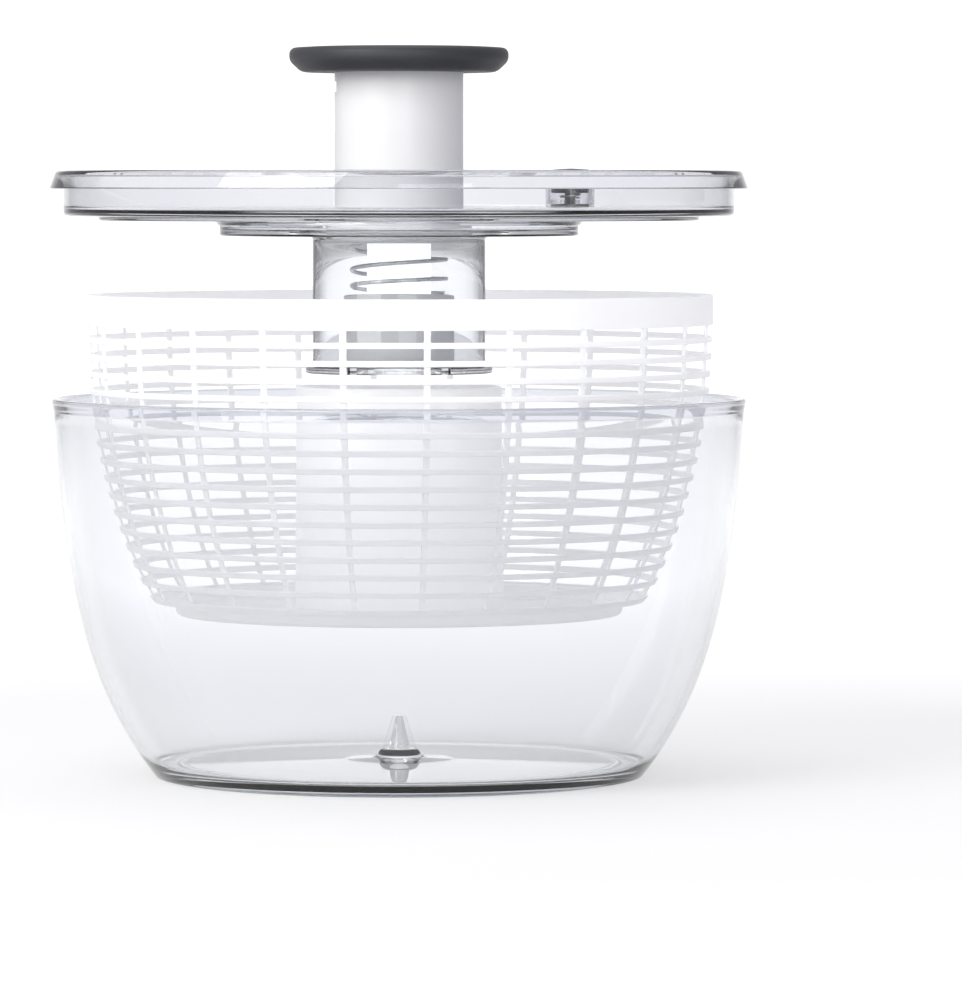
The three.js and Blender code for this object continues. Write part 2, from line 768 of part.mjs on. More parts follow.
const pieces = {
  bowl: { bowl: [bowl, clear], foot_ring: [footRing, rubber] },
  basket: { basket: [basket, milky] },
  lid: {
    lid_cover: [lidCover, clear],
    pump_housing: [pumpHousing, clear],
    plunger_bush: [plungerBush, white],
    spring_post: [springPost, white],
    return_spring: [returnSpring, steel],
    brake_spring: [brakeSpring, steel],
  },
  plunger: {
    knob_cap: [knobCap, charcoal],
    knob_core: [knobCore, white],
    plunger_tube: [plungerTube, white],
    twist_rod: [twistRod, steel],
    rod_stop: [rodStop, acetal],
    rod_screw: [rodScrew, steel],
    spring_washer: [springWasher, steel],
  },
  driver: {
    drive_sleeve: [driveSleeve, acetal],
    drive_nut: [driveNut, white],
    pawl_ring: [pawlRing, acetal],
  },
  hub: {
    drive_hub: [driveHub, clear],
    ratchet_ring: [ratchetRing, white],
    hub_retainer: [hubRetainer, acetal],
  },
  brake: { brake_button: [brakeButton, black], brake_pad: [brakePad, rubber] },
  lock: { lock_slider: [lockSlider, black] },
};

const spinner = new THREE.Group();
for (const [groupName, members] of Object.entries(pieces)) {
  const group = new THREE.Group();
  group.name = `${groupName}_group`;
  for (const [name, [make, look]] of Object.entries(members)) {
    const mesh = new THREE.Mesh(geometryOf(make()), look());
    mesh.name = name;
    group.add(mesh);
  }
  spinner.add(group);
}

export default spinner;
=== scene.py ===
"""A pump-action salad spinner, lifted apart over its bowl.

The clear bowl stands on the floor, the milky slotted basket is raised half out of it, and the clear lid
floats above with its pump: a knob and white tube, a return spring, and a twisted rod that turns the hub.
Outlines are in millimetres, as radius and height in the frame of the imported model.
"""

import logging
import math
from dataclasses import dataclass
from enum import Enum
from typing import Callable, Iterable, Sequence

import bmesh
import bpy
from mathutils import Matrix, Vector


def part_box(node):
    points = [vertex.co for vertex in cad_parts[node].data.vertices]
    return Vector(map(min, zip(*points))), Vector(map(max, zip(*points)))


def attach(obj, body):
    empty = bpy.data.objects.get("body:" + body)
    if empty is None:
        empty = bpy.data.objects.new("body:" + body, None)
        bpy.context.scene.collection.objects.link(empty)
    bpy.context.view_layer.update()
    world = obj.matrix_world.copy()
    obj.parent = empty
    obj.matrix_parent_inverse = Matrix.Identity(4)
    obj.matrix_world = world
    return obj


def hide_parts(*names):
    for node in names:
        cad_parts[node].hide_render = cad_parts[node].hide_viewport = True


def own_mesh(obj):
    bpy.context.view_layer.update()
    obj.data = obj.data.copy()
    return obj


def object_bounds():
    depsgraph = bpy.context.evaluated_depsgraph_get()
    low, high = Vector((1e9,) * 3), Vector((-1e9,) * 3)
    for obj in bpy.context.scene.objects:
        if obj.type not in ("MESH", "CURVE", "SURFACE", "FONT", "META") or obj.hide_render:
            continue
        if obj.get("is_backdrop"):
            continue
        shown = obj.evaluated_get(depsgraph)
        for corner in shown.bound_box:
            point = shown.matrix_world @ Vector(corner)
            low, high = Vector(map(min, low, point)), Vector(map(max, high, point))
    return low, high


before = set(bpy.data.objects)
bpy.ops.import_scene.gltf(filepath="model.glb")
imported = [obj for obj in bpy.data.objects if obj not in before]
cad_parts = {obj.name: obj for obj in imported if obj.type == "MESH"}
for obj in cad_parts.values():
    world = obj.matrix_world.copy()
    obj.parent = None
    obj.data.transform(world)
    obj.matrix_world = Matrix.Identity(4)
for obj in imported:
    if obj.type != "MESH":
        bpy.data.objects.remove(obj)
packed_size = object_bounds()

log = logging.getLogger("spinner")

MM = 0.001
TAU = 2 * math.pi
GAP = 0.3
RUN_GAP = 0.35
SHARP = math.radians(34)

# Sizes that several sub-assemblies share, in millimetres.
LIP = 3.7
BASKET_RIM = 120.8
TUBE = 24.75
TUBE_WALL = 3.0
BUSH_WALL = 2.9
SLEEVE = 12.3
SLEEVE_WALL = 2.3
SPLINE = 3.0
SLIDER = 3.4
BUTTON = 7.7

Point = tuple[float, float]
Colour = tuple[float, float, float]
Place = tuple[float, float, float]
Outline = Sequence[Sequence[float]]
Socket = bpy.types.NodeSocket
Mesh = bmesh.types.BMesh
Vert = bmesh.types.BMVert


# ---------------------------------------------------------------- shaders


class Signal:
    """A number carried by a shader socket, used in plain arithmetic."""

    def __init__(self, tree: "Tree", socket: Socket) -> None:
        """Wrap a socket of a tree."""
        self.tree = tree
        self.socket = socket

    def _math(self, operation: str, first: object, second: object) -> "Signal":
        """Return a Math node's result."""
        node = self.tree.node("ShaderNodeMath", {"operation": operation}, {0: first, 1: second})
        return Signal(self.tree, node.outputs[0])

    def __add__(self, other: object) -> "Signal":
        """Add."""
        return self._math("ADD", self, other)

    def __radd__(self, other: object) -> "Signal":
        """Add, from the right."""
        return self._math("ADD", other, self)

    def __sub__(self, other: object) -> "Signal":
        """Subtract."""
        return self._math("SUBTRACT", self, other)

    def __rsub__(self, other: object) -> "Signal":
        """Subtract, from the right."""
        return self._math("SUBTRACT", other, self)

    def __mul__(self, other: object) -> "Signal":
        """Multiply."""
        return self._math("MULTIPLY", self, other)

    def __truediv__(self, other: object) -> "Signal":
        """Divide."""
        return self._math("DIVIDE", self, other)

    def at_least(self, floor: float) -> "Signal":
        """Keep the number from falling below a floor."""
        return self._math("MAXIMUM", self, floor)

    def at_most(self, ceiling: float) -> "Signal":
        """Keep the number from rising above a ceiling."""
        return self._math("MINIMUM", self, ceiling)

    def size(self) -> "Signal":
        """Drop the sign."""
        return self._math("ABSOLUTE", self, 0.0)

    def ramp(self, low: float, high: float) -> "Signal":
        """Rise from 0 at one value to 1 at another."""
        return ((self - low) / (high - low)).at_least(0.0).at_most(1.0)


class Tree:
    """The node tree of a material or a world."""

    def __init__(self, owner: bpy.types.Material | bpy.types.World) -> None:
        """Empty the owner's tree.

        Args:
            owner: the material or world whose nodes are made.
        """
        owner.use_nodes = True
        self.nodes = owner.node_tree.nodes
        self.links = owner.node_tree.links
        self.nodes.clear()

    def node(self, kind: str, settings: dict | None = None, values: dict | None = None) -> bpy.types.Node:
        """Add a node.

        Args:
            kind: the node's type.
            settings: properties, set before the sockets.
            values: input names or numbers, each with a number, a colour, a socket or a Signal.

        Returns:
            The new node.
        """
        made = self.nodes.new(kind)
        for name, value in (settings or {}).items():
            setattr(made, name, value)
        for name, value in (values or {}).items():
            source = value.socket if isinstance(value, Signal) else value
            if isinstance(source, Socket):
                self.links.new(source, made.inputs[name])
            else:
                made.inputs[name].default_value = source
        return made

    def noise(self, size_mm: float, stretch: Sequence[float] = (1, 1, 1), detail: float = 3.0) -> Signal:
        """Make soft noise over the piece.

        Args:
            size_mm: the width of its blotches.
            stretch: how much finer it is along each axis.
            detail: how many finer layers are added.

        Returns:
            The noise, around 0.5.
        """
        place = {0: self.node("ShaderNodeTexCoord").outputs["Object"], 1: stretch}
        spread = self.node("ShaderNodeVectorMath", {"operation": "MULTIPLY"}, place)
        scale = 1 / (size_mm * MM)
        values = {"Vector": spread.outputs[0], "Scale": scale, "Detail": detail, "Roughness": 0.55}
        return Signal(self, self.node("ShaderNodeTexNoise", None, values).outputs["Fac"])

    def between(self, factor: Signal, low: Colour | Socket, high: Colour) -> Socket:
        """Mix two colours.

        Args:
            factor: 0 for the first colour and 1 for the second.
            low: the first colour.
            high: the second colour.

        Returns:
            The mixed colour.
        """
        start = (*low, 1.0) if isinstance(low, tuple) else low
        values = {0: factor, 6: start, 7: (*high, 1.0)}
        return self.node("ShaderNodeMix", {"data_type": "RGBA"}, values).outputs[2]

    def axes(self, space: str) -> list[Signal]:
        """Return the three coordinates of a space, such as Object."""
        place = self.node("ShaderNodeTexCoord").outputs[space]
        split = self.node("ShaderNodeSeparateXYZ", None, {0: place})
        return [Signal(self, split.outputs[i]) for i in range(3)]

    def bump(self, height: Signal, strength: float, depth_mm: float) -> Socket:
        """Return a normal raised by a height from 0 to 1."""
        values = {"Height": height, "Strength": strength, "Distance": depth_mm * MM}
        return self.node("ShaderNodeBump", None, values).outputs["Normal"]

    def finish(self, shader: Socket) -> None:
        """Send a shader to the material's output."""
        self.node("ShaderNodeOutputMaterial", None, {"Surface": shader})


@dataclass(frozen=True)
class Finish:
    """A surface finish, made once and shared by every piece that wears it."""

    name: str
    slot: str

    def material(self) -> bpy.types.Material:
        """Return the finish's material, made the first time it's asked for."""
        found = bpy.data.materials.get(self.name)
        if found:
            return found
        made = bpy.data.materials.new(self.name)
        tree = Tree(made)
        tree.finish(self.shade(tree))
        return made

    def shade(self, tree: Tree) -> Socket:
        """Return the finish's shader."""
        raise NotImplementedError


@dataclass(frozen=True)
class Clear(Finish):
    """Polished clear plastic, with the faint ripple of its mould and light wear.

    Its colour is painted darker along the bowl's lip and over the lid: painted shade for the dark band that
    the lip and the lid show, where light goes a long way through the plastic.
    Heights are in metres, in the spinner's frame at rest.
    """

    tint: Colour = (0.925, 0.935, 0.948)
    # Painted shade: a darker colour in a band along the bowl's lip.
    lip_painted_shade: Colour = (0.7, 0.71, 0.76)
    lip_shade_low: float = 0.1408
    lip_shade_high: float = 0.1475
    # Painted shade: a darker colour over the whole lid, above the height below.
    lid_painted_shade: Colour = (0.86, 0.865, 0.885)
    lid_shade_low: float = 0.2085
    ripple: float = 0.035
    wear: float = 0.05

    def shade(self, tree: Tree) -> Socket:
        """Return a refracting shader."""
        wear = tree.noise(9.0, detail=5.0)
        flow = tree.noise(26.0, (1, 1, 0.5), detail=1.0)
        _, _, z = tree.axes("Object")
        # Paint shade over the lid, then a deeper painted shade along the bowl's lip.
        upper = tree.between(z.ramp(self.lid_shade_low, self.lid_shade_low + 0.001), self.tint, self.lid_painted_shade)
        over = z.ramp(self.lip_shade_high, self.lip_shade_high + 0.0005)
        lip = z.ramp(self.lip_shade_low, self.lip_shade_low + 0.0008) * (1.0 - over)
        values = {
            "Base Color": tree.between(lip, upper, self.lip_painted_shade),
            "Transmission Weight": 1.0,
            "IOR": 1.49,
            "Roughness": (wear - 0.5).at_least(0.0) * self.wear,
            "Normal": tree.bump(flow, self.ripple, 0.4),
        }
        return tree.node("ShaderNodeBsdfPrincipled", None, values).outputs[0]


@dataclass(frozen=True)
class Milky(Finish):
    """Translucent moulded plastic. Its faint glow is painted light: an emission that brightens it everywhere,
    shaded parts too, standing in for the light that scatters inside it.
    """

    thin: Colour = (0.985, 0.985, 0.988)
    thick: Colour = (0.965, 0.965, 0.972)
    through: float = 0.5
    # Painted light: the emission strength that lifts the plastic where it lies in shade.
    glow: float = 0.07
    rough: float = 0.3

    def shade(self, tree: Tree) -> Socket:
        """Return a glossy skin mixed with light that comes through."""
        cloud = tree.noise(34.0, detail=2.0)
        grain = tree.noise(0.7, detail=2.0)
        colour = tree.between(cloud, self.thick, self.thin)
        normal = tree.bump(grain, 0.08, 0.05)
        values = {
            "Base Color": colour,
            "Roughness": self.rough + (cloud - 0.5) * 0.12,
            # The emission is painted light; dividing by the skin's share keeps its mixed strength at glow.
            "Emission Color": colour,
            "Emission Strength": self.glow / (1.0 - self.through),
            "Normal": normal,
        }
        skin = tree.node("ShaderNodeBsdfPrincipled", None, values)
        glow = tree.node("ShaderNodeBsdfTranslucent", None, {"Color": colour, "Normal": normal})
        blend = {0: self.through + (cloud - 0.5) * 0.1, 1: skin.outputs[0], 2: glow.outputs[0]}
        return tree.node("ShaderNodeMixShader", None, blend).outputs[0]


@dataclass(frozen=True)
class Solid(Finish):
    """Opaque moulded plastic or rubber with fine grain."""

    dark: Colour = (0.8, 0.8, 0.8)
    light: Colour = (0.84, 0.84, 0.84)
    rough: float = 0.4
    spread: float = 0.08
    grain_mm: float = 0.6
    relief: float = 0.06
    through: float = 0.0

    def shade(self, tree: Tree) -> Socket:
        """Return a principled shader with mottled colour and roughness."""
        blotch = tree.noise(18.0, detail=4.0)
        grain = tree.noise(self.grain_mm, detail=2.0)
        values = {
            "Base Color": tree.between(blotch, self.dark, self.light),
            "Roughness": self.rough + (blotch - 0.5) * self.spread,
            "Transmission Weight": self.through,
            "Normal": tree.bump(grain, self.relief, 0.08),
        }
        return tree.node("ShaderNodeBsdfPrincipled", None, values).outputs[0]


@dataclass(frozen=True)
class Steel(Finish):
    """Bright steel with the fine lines of drawing or turning."""

    tone: Colour = (0.62, 0.63, 0.65)
    lines: Sequence[float] = (1, 1, 12)

    def shade(self, tree: Tree) -> Socket:
        """Return a metal shader."""
        drawn = tree.noise(2.4, self.lines, detail=4.0)
        dull = tuple(0.82 * c for c in self.tone)
        values = {
            "Base Color": tree.between(drawn, dull, self.tone),
            "Metallic": 1.0,
            "Roughness": 0.2 + drawn * 0.16,
            "Normal": tree.bump(drawn, 0.12, 0.03),
        }
        return tree.node("ShaderNodeBsdfPrincipled", None, values).outputs[0]


class Look(Enum):
    """Every finish on the spinner."""

    CLEAR = Clear("polished_clear", "clear_plastic")
    MILKY = Milky("milky_satin", "milky_plastic")
    TUBE = Solid("tube_satin", "satin_white", (0.76, 0.76, 0.77), (0.79, 0.79, 0.8), rough=0.36, spread=0.06)
    WHITE = Solid(
        "moulded_white", "white_plastic", (0.85, 0.85, 0.86), (0.89, 0.89, 0.9), rough=0.32, spread=0.1
    )
    # The acetal's glow of 0.4 is painted light that brightens the drive column where it sits in shade.
    ACETAL = Milky("waxy_acetal", "acetal", (0.93, 0.93, 0.935), (0.9, 0.9, 0.905), glow=0.4, rough=0.42)
    KNOB = Solid(
        "soft_touch", "soft_charcoal", (0.02, 0.021, 0.024), (0.03, 0.031, 0.035),
        rough=0.5, spread=0.12, grain_mm=0.45, relief=0.16,
    )
    BLACK = Solid(
        "satin_black", "black_plastic", (0.012, 0.012, 0.014), (0.02, 0.02, 0.023), rough=0.38, spread=0.1
    )
    FOOT = Solid(
        "clear_rubber", "foot_rubber", (0.42, 0.46, 0.5), (0.5, 0.54, 0.58),
        rough=0.45, spread=0.1, grain_mm=0.8, relief=0.1, through=0.4,
    )
    PAD = Solid(
        "matt_rubber", "pad_rubber", (0.2, 0.205, 0.21), (0.27, 0.275, 0.28),
        rough=0.7, spread=0.1, grain_mm=0.7, relief=0.2,
    )
    STEEL = Steel("drawn_steel", "spring_steel")

    def material(self) -> bpy.types.Material:
        """Return the finish's material."""
        return self.value.material()


# ---------------------------------------------------------------- meshes


def rounded(corners: Outline, closed: bool = True, steps: int = 6) -> list[Point]:
    """Turn corners into points, with an arc at each fillet.

    Args:
        corners: the outline in order, each a radius, a height and, where it's rounded, a fillet.
        closed: whether the last corner joins the first.
        steps: the spans in an arc.

    Returns:
        The outline's points.
    """
    points = []
    count = len(corners)
    for i, (radius, height, *fillet) in enumerate(corners):
        here = Vector((radius, height))
        if not any(fillet) or (not closed and i in (0, count - 1)):
            points.append((here.x, here.y))
            continue
        back = Vector(corners[i - 1][:2]) - here
        ahead = Vector(corners[(i + 1) % count][:2]) - here
        half = back.angle(ahead) / 2
        reach = min(fillet[0] / math.tan(half), 0.48 * back.length, 0.48 * ahead.length)
        start, end = here + back.normalized() * reach, here + ahead.normalized() * reach
        weight = math.sin(half)
        for step in range(steps + 1):
            t = step / steps
            parts = ((1 - t) ** 2, 2 * weight * t * (1 - t), t * t)
            spot = (start * parts[0] + here * parts[1] + end * parts[2]) / sum(parts)
            points.append((spot.x, spot.y))
    return points


def finished(mesh: Mesh) -> Mesh:
    """Weld a mesh, face it outwards, and shade it smooth between its sharp edges."""
    bmesh.ops.remove_doubles(mesh, verts=mesh.verts, dist=1e-6)
    bmesh.ops.recalc_face_normals(mesh, faces=mesh.faces)
    for face in mesh.faces:
        face.smooth = True
    for edge in mesh.edges:
        edge.smooth = edge.calc_face_angle(0.0) < SHARP
    return mesh


def spot(radius: float, angle: float, height: float) -> Place:
    """Return a place in metres, from a radius and a height in millimetres."""
    return radius * MM * math.cos(angle), radius * MM * math.sin(angle), height * MM


def skinned(mesh: Mesh, rings: list[list[Vert]], looped: bool = False) -> Mesh:
    """Join each ring of points to the next one.

    Args:
        mesh: the mesh that holds the points.
        rings: rings with the same number of points.
        looped: whether the last ring joins the first. If not, both ends are capped.

    Returns:
        The finished mesh.
    """
    for first, second in zip(rings, rings[1:] + rings[: 1 if looped else 0]):
        for k in range(len(first)):
            n = (k + 1) % len(first)
            corners = list(dict.fromkeys((first[k], first[n], second[n], second[k])))
            if len(corners) > 2:
                mesh.faces.new(corners)
    if not looped:
        mesh.faces.new(rings[0])
        mesh.faces.new(rings[-1])
    return finished(mesh)


def turned(outline: Sequence[Point], steps: int = 160) -> Mesh:
    """Revolve an outline about the Z axis.

    Args:
        outline: points of radius and height, which close on themselves or end on the axis.
        steps: how many spans go round.

    Returns:
        A closed mesh, in metres.
    """
    mesh = bmesh.new()
    rings = []
    for radius, height in outline:
        if radius < 1e-6:
            rings.append([mesh.verts.new((0, 0, height * MM))] * steps)
            continue
        rings.append([mesh.verts.new(spot(radius, TAU * i / steps, height)) for i in range(steps)])
    return skinned(mesh, rings, looped=True)


def washer(inner: float, outer: float, low: float, high: float, edge: float = 0.3) -> Mesh:
    """Make a ring with softened edges.

    Args:
        inner: the radius of its hole.
        outer: its outer radius.
        low: its underside.
        high: its upper face.
        edge: the fillet of its edges.

    Returns:
        A closed mesh.
    """
    spots = ((inner, low), (outer, low), (outer, high), (inner, high))
    return turned(rounded([(r, z, edge) for r, z in spots]))


def disc(radius: float, low: float, high: float, edge: float = 0.3) -> Mesh:
    """Make a disc with softened edges.

    Args:
        radius: its radius.
        low: its underside.
        high: its upper face.
        edge: the fillet of its edges.

    Returns:
        A closed mesh.
    """
    corners = [(0, low), (radius, low, edge), (radius, high, edge), (0, high)]
    return turned(rounded(corners, closed=False), 96)


def block(low: Sequence[float], high: Sequence[float], degrees: float = 0.0, edge: float = 0.0) -> Mesh:
    """Make a box with rounded edges.

    Args:
        low: one corner.
        high: the corner across from it.
        degrees: how far it is turned about the Z axis.
        edge: the rounding of its edges.

    Returns:
        A closed mesh.
    """
    mesh = bmesh.new()
    bmesh.ops.create_cube(mesh, size=1.0)
    size = [(b - a) * MM for a, b in zip(low, high)]
    middle = [(a + b) / 2 * MM for a, b in zip(low, high)]
    turn = Matrix.Rotation(math.radians(degrees), 4, "Z")
    place = turn @ Matrix.Translation(middle) @ Matrix.Diagonal((*size, 1))
    bmesh.ops.transform(mesh, matrix=place, verts=mesh.verts)
    if edge:
        bmesh.ops.bevel(mesh, geom=mesh.edges, offset=edge * MM, segments=3, profile=0.5, affect="EDGES")
    return finished(mesh)


def moved(mesh: Mesh, x: float, y: float) -> Mesh:
    """Move a mesh sideways, in millimetres."""
    bmesh.ops.translate(mesh, verts=mesh.verts, vec=(x * MM, y * MM, 0))
    return mesh


def stored(name: str, mesh: Mesh) -> bpy.types.Mesh:
    """Store a mesh under a name, and use it up."""
    data = bpy.data.meshes.new(name)
    mesh.to_mesh(data)
    mesh.free()
    return data


def placed(name: str, data: bpy.types.ID) -> bpy.types.Object:
    """Put a mesh, a light or a camera in the scene."""
    made = bpy.data.objects.new(name, data)
    bpy.context.scene.collection.objects.link(made)
    return made


def together(meshes: Iterable[Mesh]) -> Mesh:
    """Put several shells into one mesh."""
    whole = bmesh.new()
    for mesh in meshes:
        data = stored("part", mesh)
        whole.from_mesh(data)
        bpy.data.meshes.remove(data)
    return whole


def combined(body: Mesh, tool: Mesh, operation: str) -> Mesh:
    """Join, cut or intersect two solids.

    Args:
        body: the solid that is changed.
        tool: the solid that changes it.
        operation: UNION, DIFFERENCE or INTERSECT.

    Returns:
        The new solid.
    """
    pair = [placed(label, stored(label, mesh)) for label, mesh in (("body", body), ("tool", tool))]
    cutter = pair[0].modifiers.new("shape", "BOOLEAN")
    cutter.operation, cutter.object, cutter.solver = operation, pair[1], "EXACT"
    shaped = bpy.data.meshes.new_from_object(pair[0].evaluated_get(bpy.context.evaluated_depsgraph_get()))
    result = bmesh.new()
    result.from_mesh(shaped)
    for item in pair:
        bpy.data.meshes.remove(item.data)
    bpy.data.meshes.remove(shaped)
    return finished(result)


def swept_coil(radius: float, wire: float, turns: float, low: float, high: float) -> Mesh:
    """Wind a compression spring whose end coils lie closer together.

    Args:
        radius: the coil's middle radius.
        wire: the wire's thickness.
        turns: how many times it goes round.
        low: the underside of the lowest coil.
        high: the top of the highest coil.

    Returns:
        A closed tube along the helix.
    """
    mesh = bmesh.new()
    sides, spans = 14, round(turns * 56)
    bottom, rise = low + wire / 2, high - low - wire
    rings = []
    for i in range(spans + 1):
        t = i / spans
        angle = TAU * turns * t
        outward = Vector((math.cos(angle), math.sin(angle), 0))
        middle = outward * radius + Vector((0, 0, bottom + rise * (t - 0.07 * math.sin(TAU * t))))
        around = (TAU * k / sides for k in range(sides))
        ring = [middle + (outward * math.cos(a) + Vector((0, 0, math.sin(a)))) * wire / 2 for a in around]
        rings.append([mesh.verts.new(place * MM) for place in ring])
    return skinned(mesh, rings)


def twisted_strip(width: float, thickness: float, lead: float, low: float, high: float) -> Mesh:
    """Twist a flat bar with rounded edges along the axis.

    Args:
        width: across the bar.
        thickness: through the bar.
        lead: the rise in one full turn.
        low: its lower end.
        high: its upper end.

    Returns:
        A closed mesh.
    """
    mesh = bmesh.new()
    spans = round((high - low) / lead * 90)
    half, nose = width / 2, thickness / 2
    section = []
    for side in (0, math.pi):
        for k in range(7):
            a = side - math.pi / 2 + math.pi * k / 6
            push = (half - nose * 0.5) * (1 if side == 0 else -1)
            section.append(Vector((push + nose * 0.5 * math.cos(a), nose * math.sin(a), 0)))
    rings = []
    for i in range(spans + 1):
        height = low + (high - low) * i / spans
        twist = Matrix.Rotation(TAU * height / lead, 3, "Z")
        rings.append([mesh.verts.new((twist @ place + Vector((0, 0, height))) * MM) for place in section])
    return skinned(mesh, rings)


def swelling(foot: Point, rim: Point, ease: Sequence[Point], count: int) -> list[Point]:
    """Draw a wall that swells from its foot to its rim.

    Args:
        foot: its lower end.
        rim: its upper end.
        ease: two handles, each as a share of the way across and up.
        count: how many spans it has.

    Returns:
        The wall's points, from its foot up.
    """
    handles = [(foot[0] + (rim[0] - foot[0]) * u, foot[1] + (rim[1] - foot[1]) * v) for u, v in ease]
    points = []
    for i in range(count + 1):
        t = i / count
        shares = ((1 - t) ** 3, 3 * (1 - t) ** 2 * t, 3 * (1 - t) * t * t, t ** 3)
        spots = (foot, *handles, rim)
        points.append(tuple(sum(s * spot[axis] for s, spot in zip(shares, spots)) for axis in (0, 1)))
    return points


def inside(points: Sequence[Point], thickness: float) -> list[Point]:
    """Move a wall's points in by its thickness.

    Args:
        points: its outer face.
        thickness: how thick it is.

    Returns:
        Its inner face.
    """
    moved_in = []
    for i, (radius, height) in enumerate(points):
        a, b = points[max(i - 1, 0)], points[min(i + 1, len(points) - 1)]
        along = Vector((b[0] - a[0], b[1] - a[1])).normalized()
        moved_in.append((radius - along.y * thickness, height + along.x * thickness))
    return moved_in


@dataclass(frozen=True)
class Reach:
    """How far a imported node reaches, in millimetres."""

    radius: float
    low: float
    high: float
    x: float
    y: float

    @classmethod
    def of(cls, node: str) -> "Reach":
        """Measure a node."""
        low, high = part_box(node)
        x, y = ((a + b) / 2 / MM for a, b in zip(low.xy, high.xy))
        return cls(max(high.x, high.y) / MM, low.z / MM, high.z / MM, x, y)


def piece(name: str, mesh: Mesh, body: str, look: Look, *nodes: str) -> bpy.types.Object:
    """Add a finished piece to the scene.

    Args:
        name: the piece's name.
        mesh: its shape, which is used up.
        body: the body that it moves with.
        look: its finish.
        nodes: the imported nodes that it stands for.

    Returns:
        The new object.
    """
    data = stored(name, mesh)
    made = placed(name, data)
    data.materials.append(look.material())
    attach(made, body)
    if nodes:
        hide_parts(*nodes)
    log.info("%s: %d faces on %s", name, len(data.polygons), body)
    return made


def squashed_spring(
    name: str, node: str, at: Point, coil: Sequence[float], travel: float
) -> None:
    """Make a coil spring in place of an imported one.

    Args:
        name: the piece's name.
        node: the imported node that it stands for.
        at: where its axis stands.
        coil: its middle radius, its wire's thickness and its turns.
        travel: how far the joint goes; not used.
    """
    reach = Reach.of(node)
    wound = moved(swept_coil(*coil, reach.low, reach.high), *at)
    spring = piece(name, wound, "lid", Look.STEEL, node)
    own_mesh(spring)


# ---------------------------------------------------------------- bowl


@dataclass(frozen=True)
class Bowl:
    """The clear bowl, its finned pivot, and the non-slip ring in its base."""

    wall: float = 2.4
    lip_height: float = 4.8
    lip_width: float = LIP
    lip_flare: float = 0.8
    foot_radius: float = 93.8
    foot_drop: float = 0.6
    floor: float = 5.4
    groove_height: float = 2.8
    groove_inset: float = 2.6
    groove_width: float = 6.0
    pivot_base: float = 7.0
    pivot_tip: float = 2.5
    mound: float = 11.0
    pivot_top: float = 23.5
    pivot_core: float = 0.6
    fin_half: float = 0.9
    ease: Sequence[Point] = ((0.71, 0.25), (0.91, 0.56))

    def build(self) -> None:
        """Make the bowl and its ring."""
        shell = combined(turned(self.outline(), 192), self.pivot(), "UNION")
        piece("clear_bowl", shell, "bowl", Look.CLEAR, "bowl")
        ring = Reach.of("foot_ring")
        inner = self.foot_radius - self.groove_inset - self.groove_width + GAP
        soft = washer(inner, ring.radius, ring.low, ring.high, 0.8)
        piece("non_slip_ring", soft, "bowl", Look.FOOT, "foot_ring")

    def outline(self) -> list[Point]:
        """Return the bowl's section, from the axis under the floor and back to the axis over it."""
        bowl = Reach.of("bowl")
        top = bowl.high
        rim = (bowl.radius - self.lip_flare, top - self.lip_height - 0.6)
        outer = swelling((self.foot_radius, self.foot_drop), rim, self.ease, 44)
        inner = [p for p in inside(outer, self.wall) if p[1] > self.floor + 2.5]
        groove = self.foot_radius - self.groove_inset
        tread = groove - self.groove_width
        lip_inner = bowl.radius - self.lip_width
        corners = [
            (0, self.floor - 0.2),
            (self.pivot_base + 4, self.floor - 0.4, 2),
            (tread - 2.4, self.floor - self.wall, 0.6),
            (tread - 2.4, self.foot_drop, 0.5),
            (tread, self.foot_drop, 0.4),
            (tread, self.groove_height, 0.3),
            (groove, self.groove_height, 0.3),
            (groove, self.foot_drop, 0.5),
            (*outer[0], 0.9),
            *outer[1:-1],
            (*outer[-1], 1.0),
            (bowl.radius, top - 0.9, 1.2),
            (bowl.radius - 0.5, top, 1.0),
            (lip_inner, top, 1.3),
            (lip_inner + 0.6, top - self.lip_height, 1.2),
            *reversed(inner),
            (inner[0][0] - 3.0, self.floor, 4.0),
            (3 * self.pivot_base, self.floor + 1.6, 8),
            (self.pivot_base + 2.6, self.floor + 2.2, 2),
            (self.pivot_base, self.mound, 1.5),
            (0, self.mound),
        ]
        return rounded(corners, closed=False)

    def pivot(self) -> Mesh:
        """Return the cone that the basket turns on, with four fins."""
        low = self.mound - 1

        def cone(share: float) -> Mesh:
            """Return a cone that is a share of the pivot's width."""
            corners = [
                (0, low),
                (self.pivot_base * share, low),
                (self.pivot_tip * share, self.pivot_top, 0.8),
                (0, self.pivot_top),
            ]
            return turned(rounded(corners, closed=False), 48)

        reach, half = self.pivot_base, self.fin_half
        blades = [block((-reach, -half, low), (reach, half, self.pivot_top), a) for a in (0, 90)]
        fins = combined(combined(blades[0], blades[1], "UNION"), cone(1.0), "INTERSECT")
        return combined(cone(self.pivot_core), fins, "UNION")


# ---------------------------------------------------------------- basket


@dataclass(frozen=True)
class Row:
    """A height on the basket's wall, and whether the wall is whole from here to the next one."""

    height: float
    radius: float
    whole: bool


